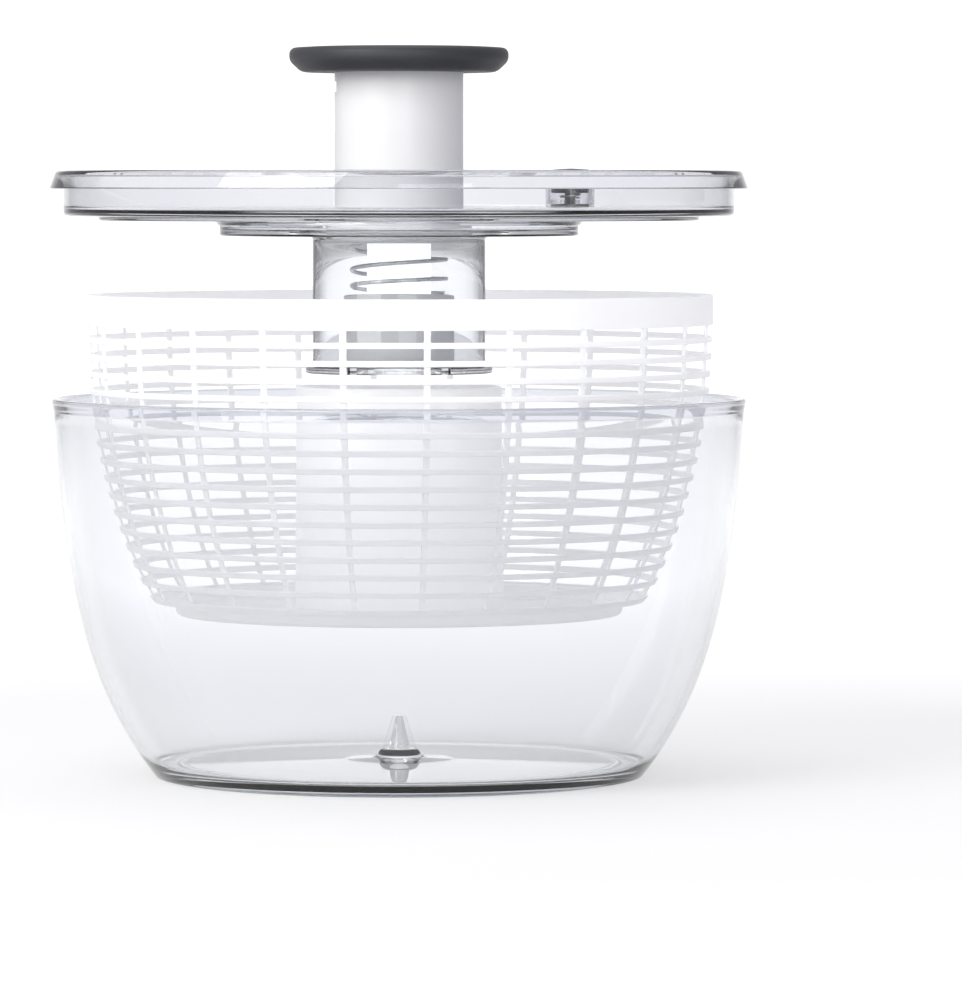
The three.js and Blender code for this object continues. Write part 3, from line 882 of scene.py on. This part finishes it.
@dataclass(frozen=True)
class Basket:
    """The milky basket: rings and ribs, a solid band, a stepped base, and a tower for the hub."""

    rim: float = BASKET_RIM
    wall: float = 2.0
    bead: float = 1.0
    band: float = 11.5
    pitch: float = 6.64
    ring: float = 2.2
    ribs: int = 24
    rib_width: float = 2.6
    rib_turn: float = 5.0
    spans: int = 8
    foot: float = 86.0
    step: float = 6.4
    deck: float = 2.2
    tower: float = 40.0
    tower_wall: float = 2.5
    tower_height: float = 87.5
    spline: float = SPLINE
    spline_depth: float = 2.9
    drain: Point = (48.0, 80.0)
    ease: Sequence[Point] = ((0.45, 0.16), (1.05, 0.61))

    def build(self) -> None:
        """Make the basket as one closed shell, with its splines inside the tower."""
        shell = self.shell()
        whole = together([shell, *self.splines()])
        basket = piece("slotted_basket", whole, "basket", Look.MILKY, "basket")
        soft = basket.modifiers.new("soft_edges", "BEVEL")
        soft.width = 0.35 * MM
        soft.segments = 2
        soft.limit_method = "ANGLE"
        soft.angle_limit = SHARP

    def rows(self) -> list[Row]:
        """Return the wall's heights, from its foot to its rim."""
        reach = Reach.of("basket")
        low, band = reach.low + self.step, reach.high - self.band
        gap = self.pitch - self.ring
        curve = swelling((self.foot + 9.5, low), (self.rim - 0.6, band), self.ease, 80)

        def radius(height: float) -> float:
            """Return the wall's radius at a height."""
            near = next(i for i, p in enumerate(curve) if i and p[1] >= height - 1e-6)
            (r0, z0), (r1, z1) = curve[near - 1], curve[near]
            return r0 + (r1 - r0) * (height - z0) / (z1 - z0)

        count = int((band - low - gap) // self.pitch)
        lowest = band - self.pitch * count - gap
        rows = [Row(low, self.foot + 9.5, True), Row(lowest, radius(lowest), False)]
        for i in range(count, 0, -1):
            height = band - self.pitch * i
            rows.append(Row(height, radius(height), True))
            rows.append(Row(height + self.ring, radius(height + self.ring), False))
        return rows + [Row(band, self.rim, True), Row(reach.high, self.rim, True)]

    def columns(self) -> tuple[list[float], list[bool], list[bool]]:
        """Return the angles round the basket, and which spans between them are ribs or drains."""
        half = self.rib_width / 2 / self.rim
        pitch = TAU / self.ribs
        angles, is_rib, is_drain = [], [], []
        for i in range(self.ribs):
            middle = math.radians(self.rib_turn - 90) + pitch * i
            angles += [middle - half, middle]
            is_rib += [True, True]
            is_drain += [False, False]
            for k in range(self.spans):
                angles.append(middle + half + (pitch - 2 * half) * k / self.spans)
                is_rib.append(False)
                is_drain.append(i % 2 == 0 and abs(k - self.spans / 2 + 0.5) < 1)
        return angles, is_rib, is_drain

    def base(self, wall_foot: Row) -> tuple[list[Point], list[Point]]:
        """Draw the base's two faces.

        Args:
            wall_foot: the lowest row of the wall.

        Returns:
            The outline under the base and the one over it, each from the wall in to the axis.
        """
        z = Reach.of("basket").low
        deck = z + self.deck
        cup = 11.8
        near, far = self.drain
        bore = self.tower - self.tower_wall
        under = [
            (wall_foot.radius, wall_foot.height),
            (self.foot + 8.2, z + 5.0, 0.8),
            (self.foot, z + 4.4, 0.8),
            (self.foot, z, 1.8),
            (far, z),
            (near, z),
            (7.6, z, 0.5),
            (3.1, z + cup, 0.8),
            (0, z + cup),
        ]
        over = [
            (wall_foot.radius - self.wall, wall_foot.height),
            (self.foot - 2.2, z + self.step - 0.1, 0.8),
            (self.foot - 2.2, deck, 1.2),
            (far, deck),
            (near, deck),
            (self.tower, deck, 1.2),
            (self.tower - 0.6, z + self.tower_height, 0.7),
            (bore, z + self.tower_height, 0.7),
            (bore, deck, 1.0),
            (10.4, deck, 1.5),
            (5.5, z + cup + self.deck, 1.2),
            (0, z + cup + self.deck),
        ]
        return rounded(under, closed=False, steps=3), rounded(over, closed=False, steps=3)

    def shell(self) -> Mesh:
        """Return the wall and the base, as a grid of heights and angles."""
        rows, (angles, is_rib, is_drain) = self.rows(), self.columns()
        mesh = bmesh.new()
        count = len(angles)
        made: dict[tuple, Vert] = {}

        def vert(key: object, radius: float, height: float, column: int) -> Vert:
            """Return the vertex of a ring at a column, made once."""
            column = 0 if radius < 1e-6 else column % count
            if (key, column) not in made:
                made[key, column] = mesh.verts.new(spot(radius, angles[column], height))
            return made[key, column]

        def face(*ends: tuple) -> None:
            """Add a face between ring points, each a key, a place and a column."""
            corners = list(dict.fromkeys(vert(key, *place, column) for key, place, column in ends))
            if len(corners) > 2:
                mesh.faces.new(corners)

        self.wall_faces(face, rows, is_rib)
        self.base_faces(face, rows[0], is_drain)
        return finished(mesh)

    def wall_faces(self, face: Callable, rows: list[Row], is_rib: list[bool]) -> None:
        """Add the rings, the ribs and the band.

        Args:
            face: adds a face between ring points.
            rows: the wall's heights.
            is_rib: which columns are ribs.
        """

        def at(level: int, layer: int, column: int) -> tuple:
            """Return a wall point: layer 0 is inside, 1 the ribs' face, 2 the rings' face."""
            row = rows[level]
            return (level, layer), (row.radius - (self.wall, self.bead, 0)[layer], row.height), column

        last, count = len(rows) - 1, len(is_rib)
        for c in range(count):
            d = c + 1
            for k in range(last):
                whole, up = rows[k].whole, k + 1
                if whole or is_rib[c]:
                    outer = 2 if whole else 1
                    face(at(k, outer, c), at(k, outer, d), at(up, outer, d), at(up, outer, c))
                    face(at(k, 0, c), at(up, 0, c), at(up, 0, d), at(k, 0, d))
                if not whole and is_rib[c]:
                    for edge, beside in ((c, c - 1), (d, d % count)):
                        if not is_rib[beside]:
                            face(at(k, 0, edge), at(k, 1, edge), at(up, 1, edge), at(up, 0, edge))
                if k and whole != rows[k - 1].whole:
                    face(at(k, 1, c), at(k, 1, d), at(k, 2, d), at(k, 2, c))
                    if not is_rib[c]:
                        face(at(k, 0, c), at(k, 0, d), at(k, 1, d), at(k, 1, c))
            face(at(last, 0, c), at(last, 2, c), at(last, 2, d), at(last, 0, d))

    def base_faces(self, face: Callable, wall_foot: Row, is_drain: list[bool]) -> None:
        """Add the two faces of the base, with the drain slots through it.

        Args:
            face: adds a face between ring points.
            wall_foot: the lowest row of the wall.
            is_drain: which columns are slots.
        """
        under, over = self.base(wall_foot)
        count = len(is_drain)
        for c in range(count):
            slot = []
            for side, outline, layer in (("under", under, 2), ("over", over, 0)):
                for i, (a, b) in enumerate(zip(outline, outline[1:])):
                    start = (side, i) if i else (0, layer)
                    ends = ((start, a), ((side, i + 1), b))
                    if is_drain[c] and {a[0], b[0]} == set(self.drain):
                        slot.append(ends)
                        continue
                    face((*ends[0], c), (*ends[0], c + 1), (*ends[1], c + 1), (*ends[1], c))
            if slot:
                beside = [edge for edge, near in ((c, c - 1), (c + 1, (c + 1) % count)) if not is_drain[near]]
                self.drain_walls(face, slot, c, beside)

    def drain_walls(self, face: Callable, slot: list, c: int, edges: list[int]) -> None:
        """Close the sides of a drain slot between the deck's two faces.

        Args:
            face: adds a face between ring points.
            slot: the far and near ends of the slot, on the underside and then on the deck.
            c: the column.
            edges: the sides of the column that have no slot beside them.
        """
        (under_far, under_near), (over_far, over_near) = slot
        for low, high in ((under_far, over_far), (under_near, over_near)):
            face((*low, c), (*low, c + 1), (*high, c + 1), (*high, c))
        for edge in edges:
            face(*((*end, edge) for end in (under_far, under_near, over_near, over_far)))

    def splines(self) -> list[Mesh]:
        """Return the upright splines that turn with the hub."""
        top = Reach.of("basket").low + self.tower_height - 1.5
        inner, outer = self.tower - self.tower_wall - self.spline_depth, self.tower - 1.2
        half, length = self.spline / 2, 31.5
        return [block((inner, -half, top - length), (outer, half, top), 60 * i, 0.5) for i in range(6)]


# ---------------------------------------------------------------- lid


@dataclass(frozen=True)
class Lid:
    """The clear cover and pump housing, and the fixed pieces inside them."""

    flange_height: float = 7.0
    flange_width: float = 2.4
    lip_width: float = LIP
    skirt_wall: float = 2.6
    skirt_air: float = 0.95
    overhang: float = 0.75
    plate_drop: float = 10.5
    plate: float = 2.5
    well_drop: float = 7.5
    well: float = 69.0
    bead: float = BASKET_RIM - 6.6
    housing: float = 33.25
    housing_wall: float = 2.4
    tube: float = TUBE
    tube_wall: float = TUBE_WALL
    sleeve: float = SLEEVE
    post_wall: float = 1.7
    slider_half: float = 5.0

    def build(self) -> None:
        """Make every fixed piece of the lid."""
        piece("clear_lid", self.cover(), "lid", Look.CLEAR, "lid_cover")
        piece("clear_housing", self.pump_housing(), "lid", Look.CLEAR, "pump_housing")
        piece("guide_bush", self.bush(), "lid", Look.WHITE, "plunger_bush")
        piece("spring_stand", self.post(), "lid", Look.WHITE, "spring_post")

    @property
    def flange_z(self) -> float:
        """The flange's underside."""
        return Reach.of("lid_cover").high - self.flange_height

    @property
    def plate_z(self) -> float:
        """The plate's underside."""
        return self.flange_z - self.plate_drop

    @property
    def well_z(self) -> float:
        """The underside of the well's floor."""
        return self.plate_z - self.well_drop

    def cover(self) -> Mesh:
        """Return the cover, with its brake pocket."""
        outer = Reach.of("lid_cover").radius
        top = self.flange_z + self.flange_height
        skirt = outer - self.overhang - self.lip_width - self.skirt_air
        inner, hug, z = skirt - self.skirt_wall, self.well + GAP, self.plate_z
        bead = self.bead
        corners = [
            (outer, self.flange_z, 0.5),
            (outer - 2.5, top, 1.6),
            (inner, top, 1.2),
            (inner, z + self.plate, 1.8),
            (self.well - 5, z + self.plate, 0.8),
            (self.well - 5, z, 0.4),
            (hug, z, 0.2),
            (hug, z - 4, 0.4),
            (hug + 1.0, z - 2.4, 2.0),
            (hug + 3.4, z - 0.6, 3.0),
            (hug + 8.5, z, 4.0),
            (bead - 1.4, z, 0.4),
            (bead - 1.1, z - 1.6, 0.6),
            (bead + 1.1, z - 1.6, 0.6),
            (bead + 1.4, z, 0.4),
            (skirt, z, 1.8),
            (skirt, top - self.flange_width, 0.6),
            (outer - 4, top - self.flange_width, 0.8),
            (outer - 2.3, self.flange_z, 0.5),
        ]
        button, pad = Reach.of("brake_button"), Reach.of("brake_pad")
        at = (button.x, button.y)
        bore = BUTTON + RUN_GAP
        ceiling, sill = pad.high + GAP, pad.high + GAP + 1.4
        shell = turned(rounded(corners), 192)
        shell = combined(shell, moved(disc(bore + 1.8, z + 0.6, sill + 5.2, 0.5), *at), "UNION")
        shell = combined(shell, moved(disc(bore + 0.2, z - 5, ceiling, 0), *at), "DIFFERENCE")
        shell = combined(shell, moved(disc(bore, sill, sill + 12, 0), *at), "DIFFERENCE")
        return combined(shell, moved(disc(2.8, z, sill + 2, 0), *at), "DIFFERENCE")

    def pump_housing(self) -> Mesh:
        """Return the clear cylinder and the well's floor, with the slider's rails."""
        node = Reach.of("pump_housing")
        foot, z = node.low, self.well_z
        floor, bore = z + self.plate, self.housing - self.housing_wall
        hole = self.tube + RUN_GAP + BUSH_WALL + GAP
        corners = [
            (hole, z, 0.3),
            (hole, floor, 0.3),
            (self.well - 2.5, floor, 1.0),
            (self.well - 2.5, node.high, 0.5),
            (self.well, node.high, 0.5),
            (self.well, z, 0.9),
            (self.housing + 3.8, z, 0.4),
            (self.housing, z, 3.6),
            (self.housing, foot, 0.5),
            (bore, foot, 0.4),
            (bore, z, 1.0),
        ]
        shell = turned(rounded(corners), 160)
        slider = Reach.of("lock_slider")
        far, side = -self.well + 8, self.slider_half + 0.4
        top = slider.low + 2.7
        for near in (side, -side - 2):
            rail = block((far, near, floor - 0.5), (-hole - 1, near + 2, top), edge=0.3)
            shell = combined(shell, rail, "UNION")
        return shell

    def bush(self) -> Mesh:
        """Return the white bush that guides the tube, with the slider's window."""
        node = Reach.of("plunger_bush")
        inner, neck = self.tube + RUN_GAP, self.tube + RUN_GAP + BUSH_WALL
        corners = [
            (inner, node.low, 0.4),
            (neck + 2.4, node.low, 0.5),
            (neck + 2.4, node.low + 2.1, 0.4),
            (neck, node.low + 2.1, 0.2),
            (neck, node.high, 0.8),
            (inner, node.high, 0.6),
        ]
        slider = Reach.of("lock_slider")
        half = self.slider_half + 0.4
        sill, head = slider.low - GAP, slider.low + SLIDER + GAP
        window = block((-neck - 5, -half, sill), (-inner + 3, half, head))
        return combined(turned(rounded(corners), 128), window, "DIFFERENCE")

    def post(self) -> Mesh:
        """Return the fixed post that the spring stands on."""
        node = Reach.of("spring_post")
        outer = self.tube - self.tube_wall - RUN_GAP - 0.1
        bore, lip = outer - self.post_wall, outer - self.post_wall - 1.6
        journal = self.sleeve + RUN_GAP
        base = node.low + 2.6
        corners = [
            (lip, node.low, 0.3),
            (node.radius, node.low, 0.3),
            (node.radius, base, 0.4),
            (outer, base, 0.5),
            (outer, node.high, 0.6),
            (journal, node.high, 0.4),
            (journal, node.high - 2.6, 0.3),
            (bore, node.high - 2.6, 0.4),
            (bore, base, 0.2),
            (lip, base, 0.2),
        ]
        return turned(rounded(corners), 128)


@dataclass(frozen=True)
class Plunger:
    """The knob, its tube, the return spring and the twisted rod."""

    knob: float = 42.1
    tube: float = TUBE
    tube_wall: float = TUBE_WALL
    notch: float = 1.9
    notch_half: float = 6.0
    spring: float = 18.2
    wire: float = 1.6
    turns: float = 8.5
    travel: float = 52.0
    rod_turns: int = 2
    rod_width: float = 15.0
    rod_thickness: float = 3.2

    def build(self) -> None:
        """Make the knob, the tube, the spring and the rod."""
        piece("soft_knob", self.cap(), "plunger", Look.KNOB, "knob_cap")
        piece("white_tube", self.guide_tube(), "plunger", Look.TUBE, "plunger_tube")
        core, washer_node = Reach.of("knob_core"), Reach.of("spring_washer")
        piece("knob_inner", self.core(core), "plunger", Look.WHITE, "knob_core")
        ring = washer(self.spring - 2.7, washer_node.radius, washer_node.low, washer_node.high, 0.2)
        piece("steel_washer", ring, "plunger", Look.STEEL, "spring_washer")
        piece("drive_rod", self.rod(), "plunger", Look.STEEL, "twist_rod", "rod_stop", "rod_screw")
        coil = (self.spring, self.wire, self.turns)
        squashed_spring("pump_spring", "return_spring", (0, 0), coil, self.travel)

    def cap(self) -> Mesh:
        """Return the soft knob, hollow under its crown."""
        node = Reach.of("knob_cap")
        low, top, outer = node.low, node.high, self.knob
        corners = [
            (0, top - 2),
            (outer - 7.1, top - 2.4, 0.6),
            (outer - 7.1, low + 2.2, 0.4),
            (self.tube + GAP, low + 2.2, 0.3),
            (self.tube + GAP, low, 0.4),
            (outer - 4.6, low, 5.0),
            (outer, low + 4.4, 4.0),
            (outer, top - 0.7, 2.6),
            (outer - 8, top - 0.25, 20),
            (0, top),
        ]
        return turned(rounded(corners, closed=False, steps=10), 192)

    def guide_tube(self) -> Mesh:
        """Return the white tube, with the notch that the slider locks into."""
        node, slider = Reach.of("plunger_tube"), Reach.of("lock_slider")
        low = slider.low - GAP + self.travel
        wide = self.tube + 5
        inner, half, high = -self.tube + self.notch, self.notch_half, low + SLIDER + 2 * GAP
        notch = block((-wide, -half, low), (inner, half, high), edge=0.25)
        tube = washer(self.tube - self.tube_wall, self.tube, node.low, node.high, 0.7)
        return combined(tube, notch, "DIFFERENCE")

    def core(self, node: Reach) -> Mesh:
        """Return the moulded core that joins the knob to the tube and the rod."""
        flange = node.high - 2.5
        boss = self.tube - self.tube_wall - GAP
        corners = [
            (4.3, node.low + 2.6, 0.2),
            (8.3, node.low + 2.6, 0.2),
            (8.3, node.low, 0.3),
            (boss, node.low, 0.5),
            (boss, flange, 0.4),
            (node.radius, flange, 0.4),
            (node.radius, node.high, 0.5),
            (4.3, node.high, 0.3),
        ]
        return turned(rounded(corners), 96)

    def rod(self) -> Mesh:
        """Return the twisted rod with its head, stud, stop and screw."""
        node, core, stop = Reach.of("twist_rod"), Reach.of("knob_core"), Reach.of("rod_stop")
        screw = Reach.of("rod_screw")
        lead = self.travel / self.rod_turns
        strip = twisted_strip(self.rod_width, self.rod_thickness, lead, stop.high + 0.2, core.low + 0.6)
        collar = washer(2.2, stop.radius, stop.low, stop.high, 0.4)
        return together([
            strip,
            collar,
            disc(2.6, node.low, stop.high + 0.6, 0.3),
            disc(7.7, core.low + GAP, core.low + 2.3, 0.3),
            disc(4.0, core.low + 2.2, core.low + 7.9, 0.3),
            disc(6.2, screw.high - 1.5, screw.high, 0.7),
        ])


@dataclass(frozen=True)
class Drive:
    """What turns: the sleeve and its nut, the one-way clutch, and the hub."""

    sleeve: float = SLEEVE
    sleeve_wall: float = SLEEVE_WALL
    hub: float = 36.0
    hub_floor: float = 2.5
    notches: int = 6
    spline: float = SPLINE
    notch_floor: float = 34.0
    tooth_tip: float = 14.0
    tooth_depth: float = 0.8
    teeth: int = 18
    pawls: int = 3

    def build(self) -> None:
        """Make the driver and the hub."""
        sleeve = Reach.of("drive_sleeve")
        tube = washer(self.sleeve - self.sleeve_wall, self.sleeve, sleeve.low, sleeve.high, 0.5)
        piece("drive_column", tube, "driver", Look.ACETAL, "drive_sleeve")
        nut = Reach.of("drive_nut")
        flange = washer(8.2, self.sleeve, nut.high - 2, nut.high, 0.5)
        body = washer(7.9, self.sleeve - self.sleeve_wall - GAP, nut.low, nut.high - 2.3, 0.3)
        piece("slotted_nut", together([flange, body]), "driver", Look.WHITE, "drive_nut")
        self.clutch()
        piece("clear_hub", self.hub_foot(), "hub", Look.CLEAR, "drive_hub")
        ring = Reach.of("hub_retainer")
        snap = washer(ring.radius - 2.4, ring.radius, ring.low, ring.high, 0.3)
        piece("snap_ring", snap, "hub", Look.ACETAL, "hub_retainer")

    def clutch(self) -> None:
        """Make the toothed ring and the ring of pawls inside it."""
        teeth, pawls = Reach.of("ratchet_ring"), Reach.of("pawl_ring")
        root = self.tooth_tip + self.tooth_depth
        inward = self.saw(self.teeth, self.tooth_tip, root, teeth.radius, teeth.low, teeth.high)
        piece("tooth_ring", inward, "hub", Look.WHITE, "ratchet_ring")
        tip = self.tooth_tip - RUN_GAP
        springy = self.saw(self.pawls, self.sleeve + 0.7, tip, self.sleeve + GAP, pawls.low, pawls.high)
        piece("springy_pawls", springy, "driver", Look.ACETAL, "pawl_ring")

    def saw(self, count: int, low: float, high: float, plain: float, bottom: float, top: float) -> Mesh:
        """Make a ring with one plain face and one face of sawteeth.

        Args:
            count: how many teeth go round.
            low: the smaller radius of the teeth.
            high: the larger radius of the teeth.
            plain: the radius of the other face.
            bottom: its underside.
            top: its upper face.

        Returns:
            A closed mesh.
        """
        mesh = bmesh.new()
        steps = count * (48 // count + 4)
        layers = []
        for i in range(steps):
            angle = TAU * i / steps
            share = (i * count / steps) % 1.0
            toothed = low + (high - low) * share
            spots = ((toothed, bottom), (toothed, top), (plain, top), (plain, bottom))
            layers.append([mesh.verts.new(spot(r, angle, z)) for r, z in spots])
        return skinned(mesh, layers, looped=True)

    def hub_foot(self) -> Mesh:
        """Return the clear foot whose notches slide over the tower's splines."""
        node, housing, ring = Reach.of("drive_hub"), Reach.of("pump_housing"), Reach.of("hub_retainer")
        hole = self.sleeve - self.sleeve_wall - 0.1
        deck, outer = node.low + self.hub_floor, ring.radius - 1.6
        corners = [
            (hole, node.low, 0.3),
            (self.hub, node.low, 0.8),
            (self.hub, deck, 0.6),
            (outer, deck, 0.2),
            (outer, housing.low + 2.7, 0.1),
            (outer - 0.9, housing.low + 2.7, 0.1),
            (outer - 0.9, housing.low + 5.1, 0.1),
            (outer, housing.low + 5.1, 0.1),
            (outer, node.high, 0.4),
            (self.tooth_tip + self.tooth_depth + 1, node.high, 0.3),
            (self.tooth_tip + self.tooth_depth + 1, deck, 0.3),
            (hole, deck, 0.3),
        ]
        hub = turned(rounded(corners), 144)
        half = self.spline / 2 + 0.5
        for i in range(self.notches):
            low, high = (self.notch_floor, -half, node.low - 1), (self.hub + 1, half, deck + 1)
            hub = combined(hub, block(low, high, 360 / self.notches * i), "DIFFERENCE")
        return hub


@dataclass(frozen=True)
class Controls:
    """The brake button with its pad and spring, and the knob's lock slider."""

    button: float = BUTTON
    button_wall: float = 1.8
    stem: float = 2.2
    press: float = 2.5
    coil: Sequence[float] = (4.0, 0.7, 4.5)
    ridge_pitch: float = 2.6
    ridge_width: float = 1.5

    def build(self) -> None:
        """Make the brake and the lock."""
        node, pad = Reach.of("brake_button"), Reach.of("brake_pad")
        at = (node.x, node.y)
        piece("stop_button", moved(self.cap(node), *at), "brake", Look.BLACK, "brake_button")
        corners = [
            (0, pad.high - 1.5),
            (2.5, pad.high - 1.5),
            (2.5, pad.high, 0.2),
            (self.button + 0.1, pad.high, 0.4),
            (self.button + 0.1, pad.low, 0.6),
            (0, pad.low),
        ]
        soft = turned(rounded(corners, closed=False), 72)
        piece("stop_pad", moved(soft, *at), "brake", Look.PAD, "brake_pad")
        squashed_spring("stop_spring", "brake_spring", at, self.coil, self.press)
        self.slider()

    def cap(self, node: Reach) -> Mesh:
        """Return the hollow button on its stem."""
        top = node.high
        bottom = top - 9.8
        bore = self.button - self.button_wall
        corners = [
            (0, node.low),
            (self.stem, node.low, 0.3),
            (self.stem, top - 1.9, 0.3),
            (bore, top - 1.9, 0.6),
            (bore, bottom, 0.3),
            (self.button, bottom, 0.4),
            (self.button, top - 0.45, 1.0),
            (0, top),
        ]
        return turned(rounded(corners, closed=False), 96)

    def slider(self) -> None:
        """Make the lock slider with its thumb ridges."""
        low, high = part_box("lock_slider")
        x0, x1, z0, z1 = low.x / MM, high.x / MM, low.z / MM, high.z / MM
        half = high.y / MM
        bar = block((x0, -half, z0), (x1, half, z0 + SLIDER), edge=0.4)
        starts = [x0 + self.ridge_pitch * i for i in range(4)]
        ridges = [block((x, -half, z0 + 1), (x + self.ridge_width, half, z1), edge=0.5) for x in starts]
        piece("lock_bar", together([bar, *ridges]), "lock", Look.BLACK, "lock_slider")


# ---------------------------------------------------------------- studio


@dataclass(frozen=True)
class Studio:
    """The pale floor, the lights and the camera."""

    camera_away: float = 2.54
    camera_height: float = 0.2266
    aim: Place = (0.0315, 0.0, 0.1066)
    lens: float = 237.7
    lit: Place = (0.0, 0.0, 0.12)
    glow: float = 0.8

    def build(self) -> None:
        """Make the studio."""
        self.camera()
        self.sweep()
        self.world()
        self.light("key", (-1.5, -1.6, 1.3), 1.6, 38.0, (1.0, 0.995, 0.985))
        self.light("fill", (0.5, -2.4, 0.75), 1.1, 10.0, (1.0, 1.0, 1.0))
        self.light("top", (-0.1, 0.3, 1.9), 1.2, 8.0, (1.0, 1.0, 1.0))
        scene = bpy.context.scene
        scene.view_settings.view_transform = "Standard"
        scene.cycles.max_bounces = 20
        scene.cycles.transmission_bounces = 20
        scene.cycles.transparent_max_bounces = 12
        scene.cycles.diffuse_bounces = 12

    def camera(self) -> None:
        """Set the long lens level with the lid."""
        data = bpy.data.cameras.new("view")
        data.lens = self.lens
        data.sensor_width = 36.0
        data.clip_end = 50.0
        stand = (0, -self.camera_away, self.camera_height)
        bpy.context.scene.camera = self.facing("view", data, stand, self.aim)

    def facing(self, name: str, data: bpy.types.ID, stand: Place, aim: Place) -> bpy.types.Object:
        """Place a light or a camera so that it faces a spot.

        Args:
            name: its name.
            data: the light or the camera.
            stand: where it stands.
            aim: the spot that it faces.

        Returns:
            The new object.
        """
        made = placed(name, data)
        made.location = stand
        made.rotation_euler = (Vector(aim) - made.location).to_track_quat("-Z", "Y").to_euler()
        return made

    def light(self, name: str, place: Place, size: float, power: float, colour: Colour) -> None:
        """Hang a soft square light that faces the spinner.

        Args:
            name: its name.
            place: where it hangs.
            size: the length of its sides.
            power: its power in watts.
            colour: its colour.
        """
        data = bpy.data.lights.new(name, "AREA")
        data.size, data.energy, data.color = size, power, colour
        self.facing(name, data, place, self.lit)

    def sweep(self) -> None:
        """Lay a pale floor that curves up into a wall behind."""
        mesh = bmesh.new()
        back, bend, half = 3.0, 1.0, 5.0
        profile = [(-4.0, 0.0), (back - bend, 0.0)]
        for i in range(1, 13):
            a = math.pi / 2 * i / 12
            profile.append((back - bend + bend * math.sin(a), bend - bend * math.cos(a)))
        profile.append((back, 5.0))
        rows = [[mesh.verts.new((x, y, z)) for x in (-half, half)] for y, z in profile]
        for (a, b), (c, d) in zip(rows, rows[1:]):
            mesh.faces.new((a, b, d, c)).smooth = True
        data = stored("pale_sweep", mesh)
        sweep = placed("pale_sweep", data)
        data.materials.append(self.paper())
        sweep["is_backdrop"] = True

    def paper(self) -> bpy.types.Material:
        """Return pale paper, lit evenly round the spinner and less towards its edges."""
        made = bpy.data.materials.new("pale_paper")
        tree = Tree(made)
        fibre = tree.noise(3.0, detail=4.0)
        x, y, z = tree.axes("Object")
        far = x.size().ramp(0.55, 1.5) + (z - y * 0.2).ramp(0.0, 1.2) + (0 - y).ramp(1.4, 3.0)
        near = tree.between((y * y + x * x).ramp(0.15, 1.2), (0.66, 0.66, 0.66), (1.0, 1.0, 1.0))
        values = {
            "Base Color": tree.between(fibre, (0.37, 0.37, 0.372), (0.39, 0.39, 0.392)),
            "Roughness": 0.9,
            "Emission Color": tree.between(far.at_most(1.0), near, (0.25, 0.25, 0.27)),
            "Emission Strength": self.glow,
        }
        tree.finish(tree.node("ShaderNodeBsdfPrincipled", None, values).outputs[0])
        return made

    def world(self) -> None:
        """Light the room from the left, behind and in front, and leave the right and the top dim."""
        world = bpy.data.worlds.new("room")
        bpy.context.scene.world = world
        tree = Tree(world)
        x, y, z = tree.axes("Generated")
        sides = (x * -1).ramp(-0.2, 0.8) * 0.8 + y.size().ramp(0.3, 0.95) * 0.7
        lit = sides * (1 - z.ramp(0.5, 0.95) * 0.6)
        shade = tree.between(lit.at_most(1.0), (0.55, 0.55, 0.62), (1.0, 1.0, 1.0))
        glow = tree.node("ShaderNodeBackground", None, {"Color": shade, "Strength": 1.0})
        tree.node("ShaderNodeOutputWorld", None, {"Surface": glow.outputs[0]})


def main() -> None:
    """Build the spinner, then the studio, and gather the packed and built sizes."""
    logging.basicConfig(level=logging.INFO, format="%(message)s")
    for part in (Bowl(), Basket(), Lid(), Plunger(), Drive(), Controls(), Studio()):
        part.build()
    sizes = {"packed": packed_size, "built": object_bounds()}
    plain = {name: [[round(float(v), 6) for v in corner] for corner in box] for name, box in sizes.items()}


if __name__ == "__main__":
    main()
